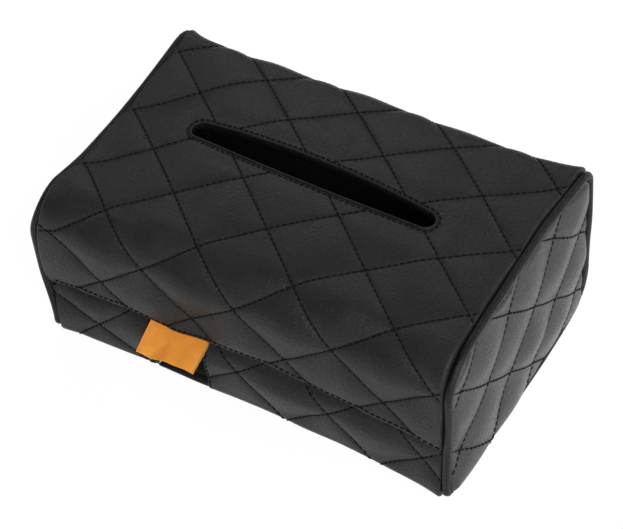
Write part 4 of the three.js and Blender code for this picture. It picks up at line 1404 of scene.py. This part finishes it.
def sew(name, lines, tree, shape):
    """Sews a piece of stitching along lines kept with their way up."""
    points = np.concatenate([here + up * STITCH_LIFT for here, up in lines])
    ups = np.concatenate([up for _, up in lines])
    edges = []
    first = 0
    for here, _ in lines:
        edges += [(first + i, first + i + 1) for i in range(len(here) - 1)]
        first += len(here)
    mesh = bpy.data.meshes.new(name + "_lines")
    mesh.from_pydata((points / MM_PER_M).tolist(), edges, [])
    mesh.attributes.new("up", "FLOAT_VECTOR", "POINT").data.foreach_set("vector", ups.ravel())
    path = in_scene(name + "_lines", mesh)
    modifier = path.modifiers.new("stitches", "NODES")
    modifier.node_group = tree
    inputs = {"Stitch": shape, "Pitch": STITCH_PITCH / MM_PER_M, "Slant": STITCH_SLANT,
              "Seed": STITCH_SEED, "Thread": thread.material}
    for socket in tree.interface.items_tree:
        if socket.name in inputs:
            modifier[socket.identifier] = inputs[socket.name]
    bpy.context.view_layer.update()
    evaluated = path.evaluated_get(bpy.context.evaluated_depsgraph_get())
    sewn = in_scene(name, bpy.data.meshes.new_from_object(evaluated))
    bpy.data.objects.remove(path)
    return sewn


shape = stitch_shape()
tree = stitch_tree()
box_stitches = sew("box_stitches", seams["box"], tree, shape)
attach(box_stitches, "box")
wrap_stitches = sew("wrap_stitches", seams["wrap"], tree, shape)
bend_at_fold(wrap_stitches)
bpy.data.objects.remove(shape)

# Studio
# A pale floor that stays nearly white to the camera and keeps a soft shadow, in a dim white room. Five
# soft lamps stand round it, the strongest at the front right. The camera looks down on that corner.
FLOOR_SIZE = 40.0
FLOOR_WHITE = (0.68, 0.68, 0.68, 1)
FLOOR_ROUGHNESS = 0.9
FLOOR_GLOW_SHARE = 0.82
FLOOR_GLOW = 1.12
GLOW_WHITE = (1, 1, 1, 1)
ROOM_WHITE = (1.0, 1.0, 1.0, 1)
ROOM_STRENGTH = 0.08
IMAGE_WIDTH_PX = 623
SENSOR_MM = 36
FOCAL_PX = 1999.1
CAMERA_AZIMUTH = math.radians(35.72)
CAMERA_ELEVATION = math.radians(46.78)
CAMERA_ROLL = math.radians(5.59)
CAMERA_DISTANCE = 0.9936
CAMERA_TARGET = Vector((-0.00225, 0, 0.03414))
LAMPS = {
    "right_lamp": ((1.6, -0.3, 0.6), 0.9, 9),
    "front_right_lamp": ((0.9, -1.15, 1.0), 1.1, 22),
    "back_right_lamp": ((0.9, 1.3, 0.9), 1.0, 11),
    "left_lamp": ((-1.4, -0.1, 1.0), 0.9, 5),
    "back_left_lamp": ((-0.65, 0.9, 1.18), 0.9, 5.2),
}

floor_finish = Finish("floor")
floor_finish.look(BaseColor=FLOOR_WHITE, Roughness=FLOOR_ROUGHNESS)
rays = floor_finish.node("ShaderNodeLightPath")
seen = rays["Is Camera Ray"].most(rays["Is Glossy Ray"]).most(rays["Is Transmission Ray"])
glow = floor_finish.node("ShaderNodeEmission", None, GLOW_WHITE, FLOOR_GLOW)["Emission"]
lit = Value(floor_finish, floor_finish.shader.outputs["BSDF"])
both = floor_finish.node("ShaderNodeMixShader", None, seen * FLOOR_GLOW_SHARE, lit, glow)["Shader"]
fill(floor_finish.tree, floor_finish.tree.nodes["Material Output"].inputs["Surface"], both)
reach = FLOOR_SIZE * MM_PER_M / 2
floor_corners = [(-reach, -reach, 0), (reach, -reach, 0), (reach, reach, 0), (-reach, reach, 0)]
floor = new_piece("floor", floor_corners, [(0, 1, 2, 3)], floor_finish.material)

room = bpy.data.worlds.new("room")
room.use_nodes = True
room_light = room.node_tree.nodes["Background"].inputs
room_light["Color"].default_value = ROOM_WHITE
room_light["Strength"].default_value = ROOM_STRENGTH
bpy.context.scene.world = room
for name, (place, width, power) in LAMPS.items():
    lamp = bpy.data.lights.new(name, "AREA")
    lamp.shape = "DISK"
    lamp.size = width
    lamp.energy = power
    holder = in_scene(name, lamp)
    holder.location = place
    holder.rotation_euler = (CAMERA_TARGET - Vector(place)).to_track_quat("-Z", "Y").to_euler()

camera_data = bpy.data.cameras.new("camera")
camera_data.sensor_width = SENSOR_MM
camera_data.lens = FOCAL_PX * SENSOR_MM / IMAGE_WIDTH_PX
camera = in_scene("camera", camera_data)
away = Vector((
    math.sin(CAMERA_AZIMUTH) * math.cos(CAMERA_ELEVATION),
    -math.cos(CAMERA_AZIMUTH) * math.cos(CAMERA_ELEVATION),
    math.sin(CAMERA_ELEVATION),
))
level = away.to_track_quat("Z", "Y")
camera.rotation_mode = "QUATERNION"
camera.rotation_quaternion = level @ Quaternion((0, 0, 1), -CAMERA_ROLL)
camera.location = CAMERA_TARGET + away * CAMERA_DISTANCE
bpy.context.scene.camera = camera
bpy.context.scene.view_settings.view_transform = "Standard"
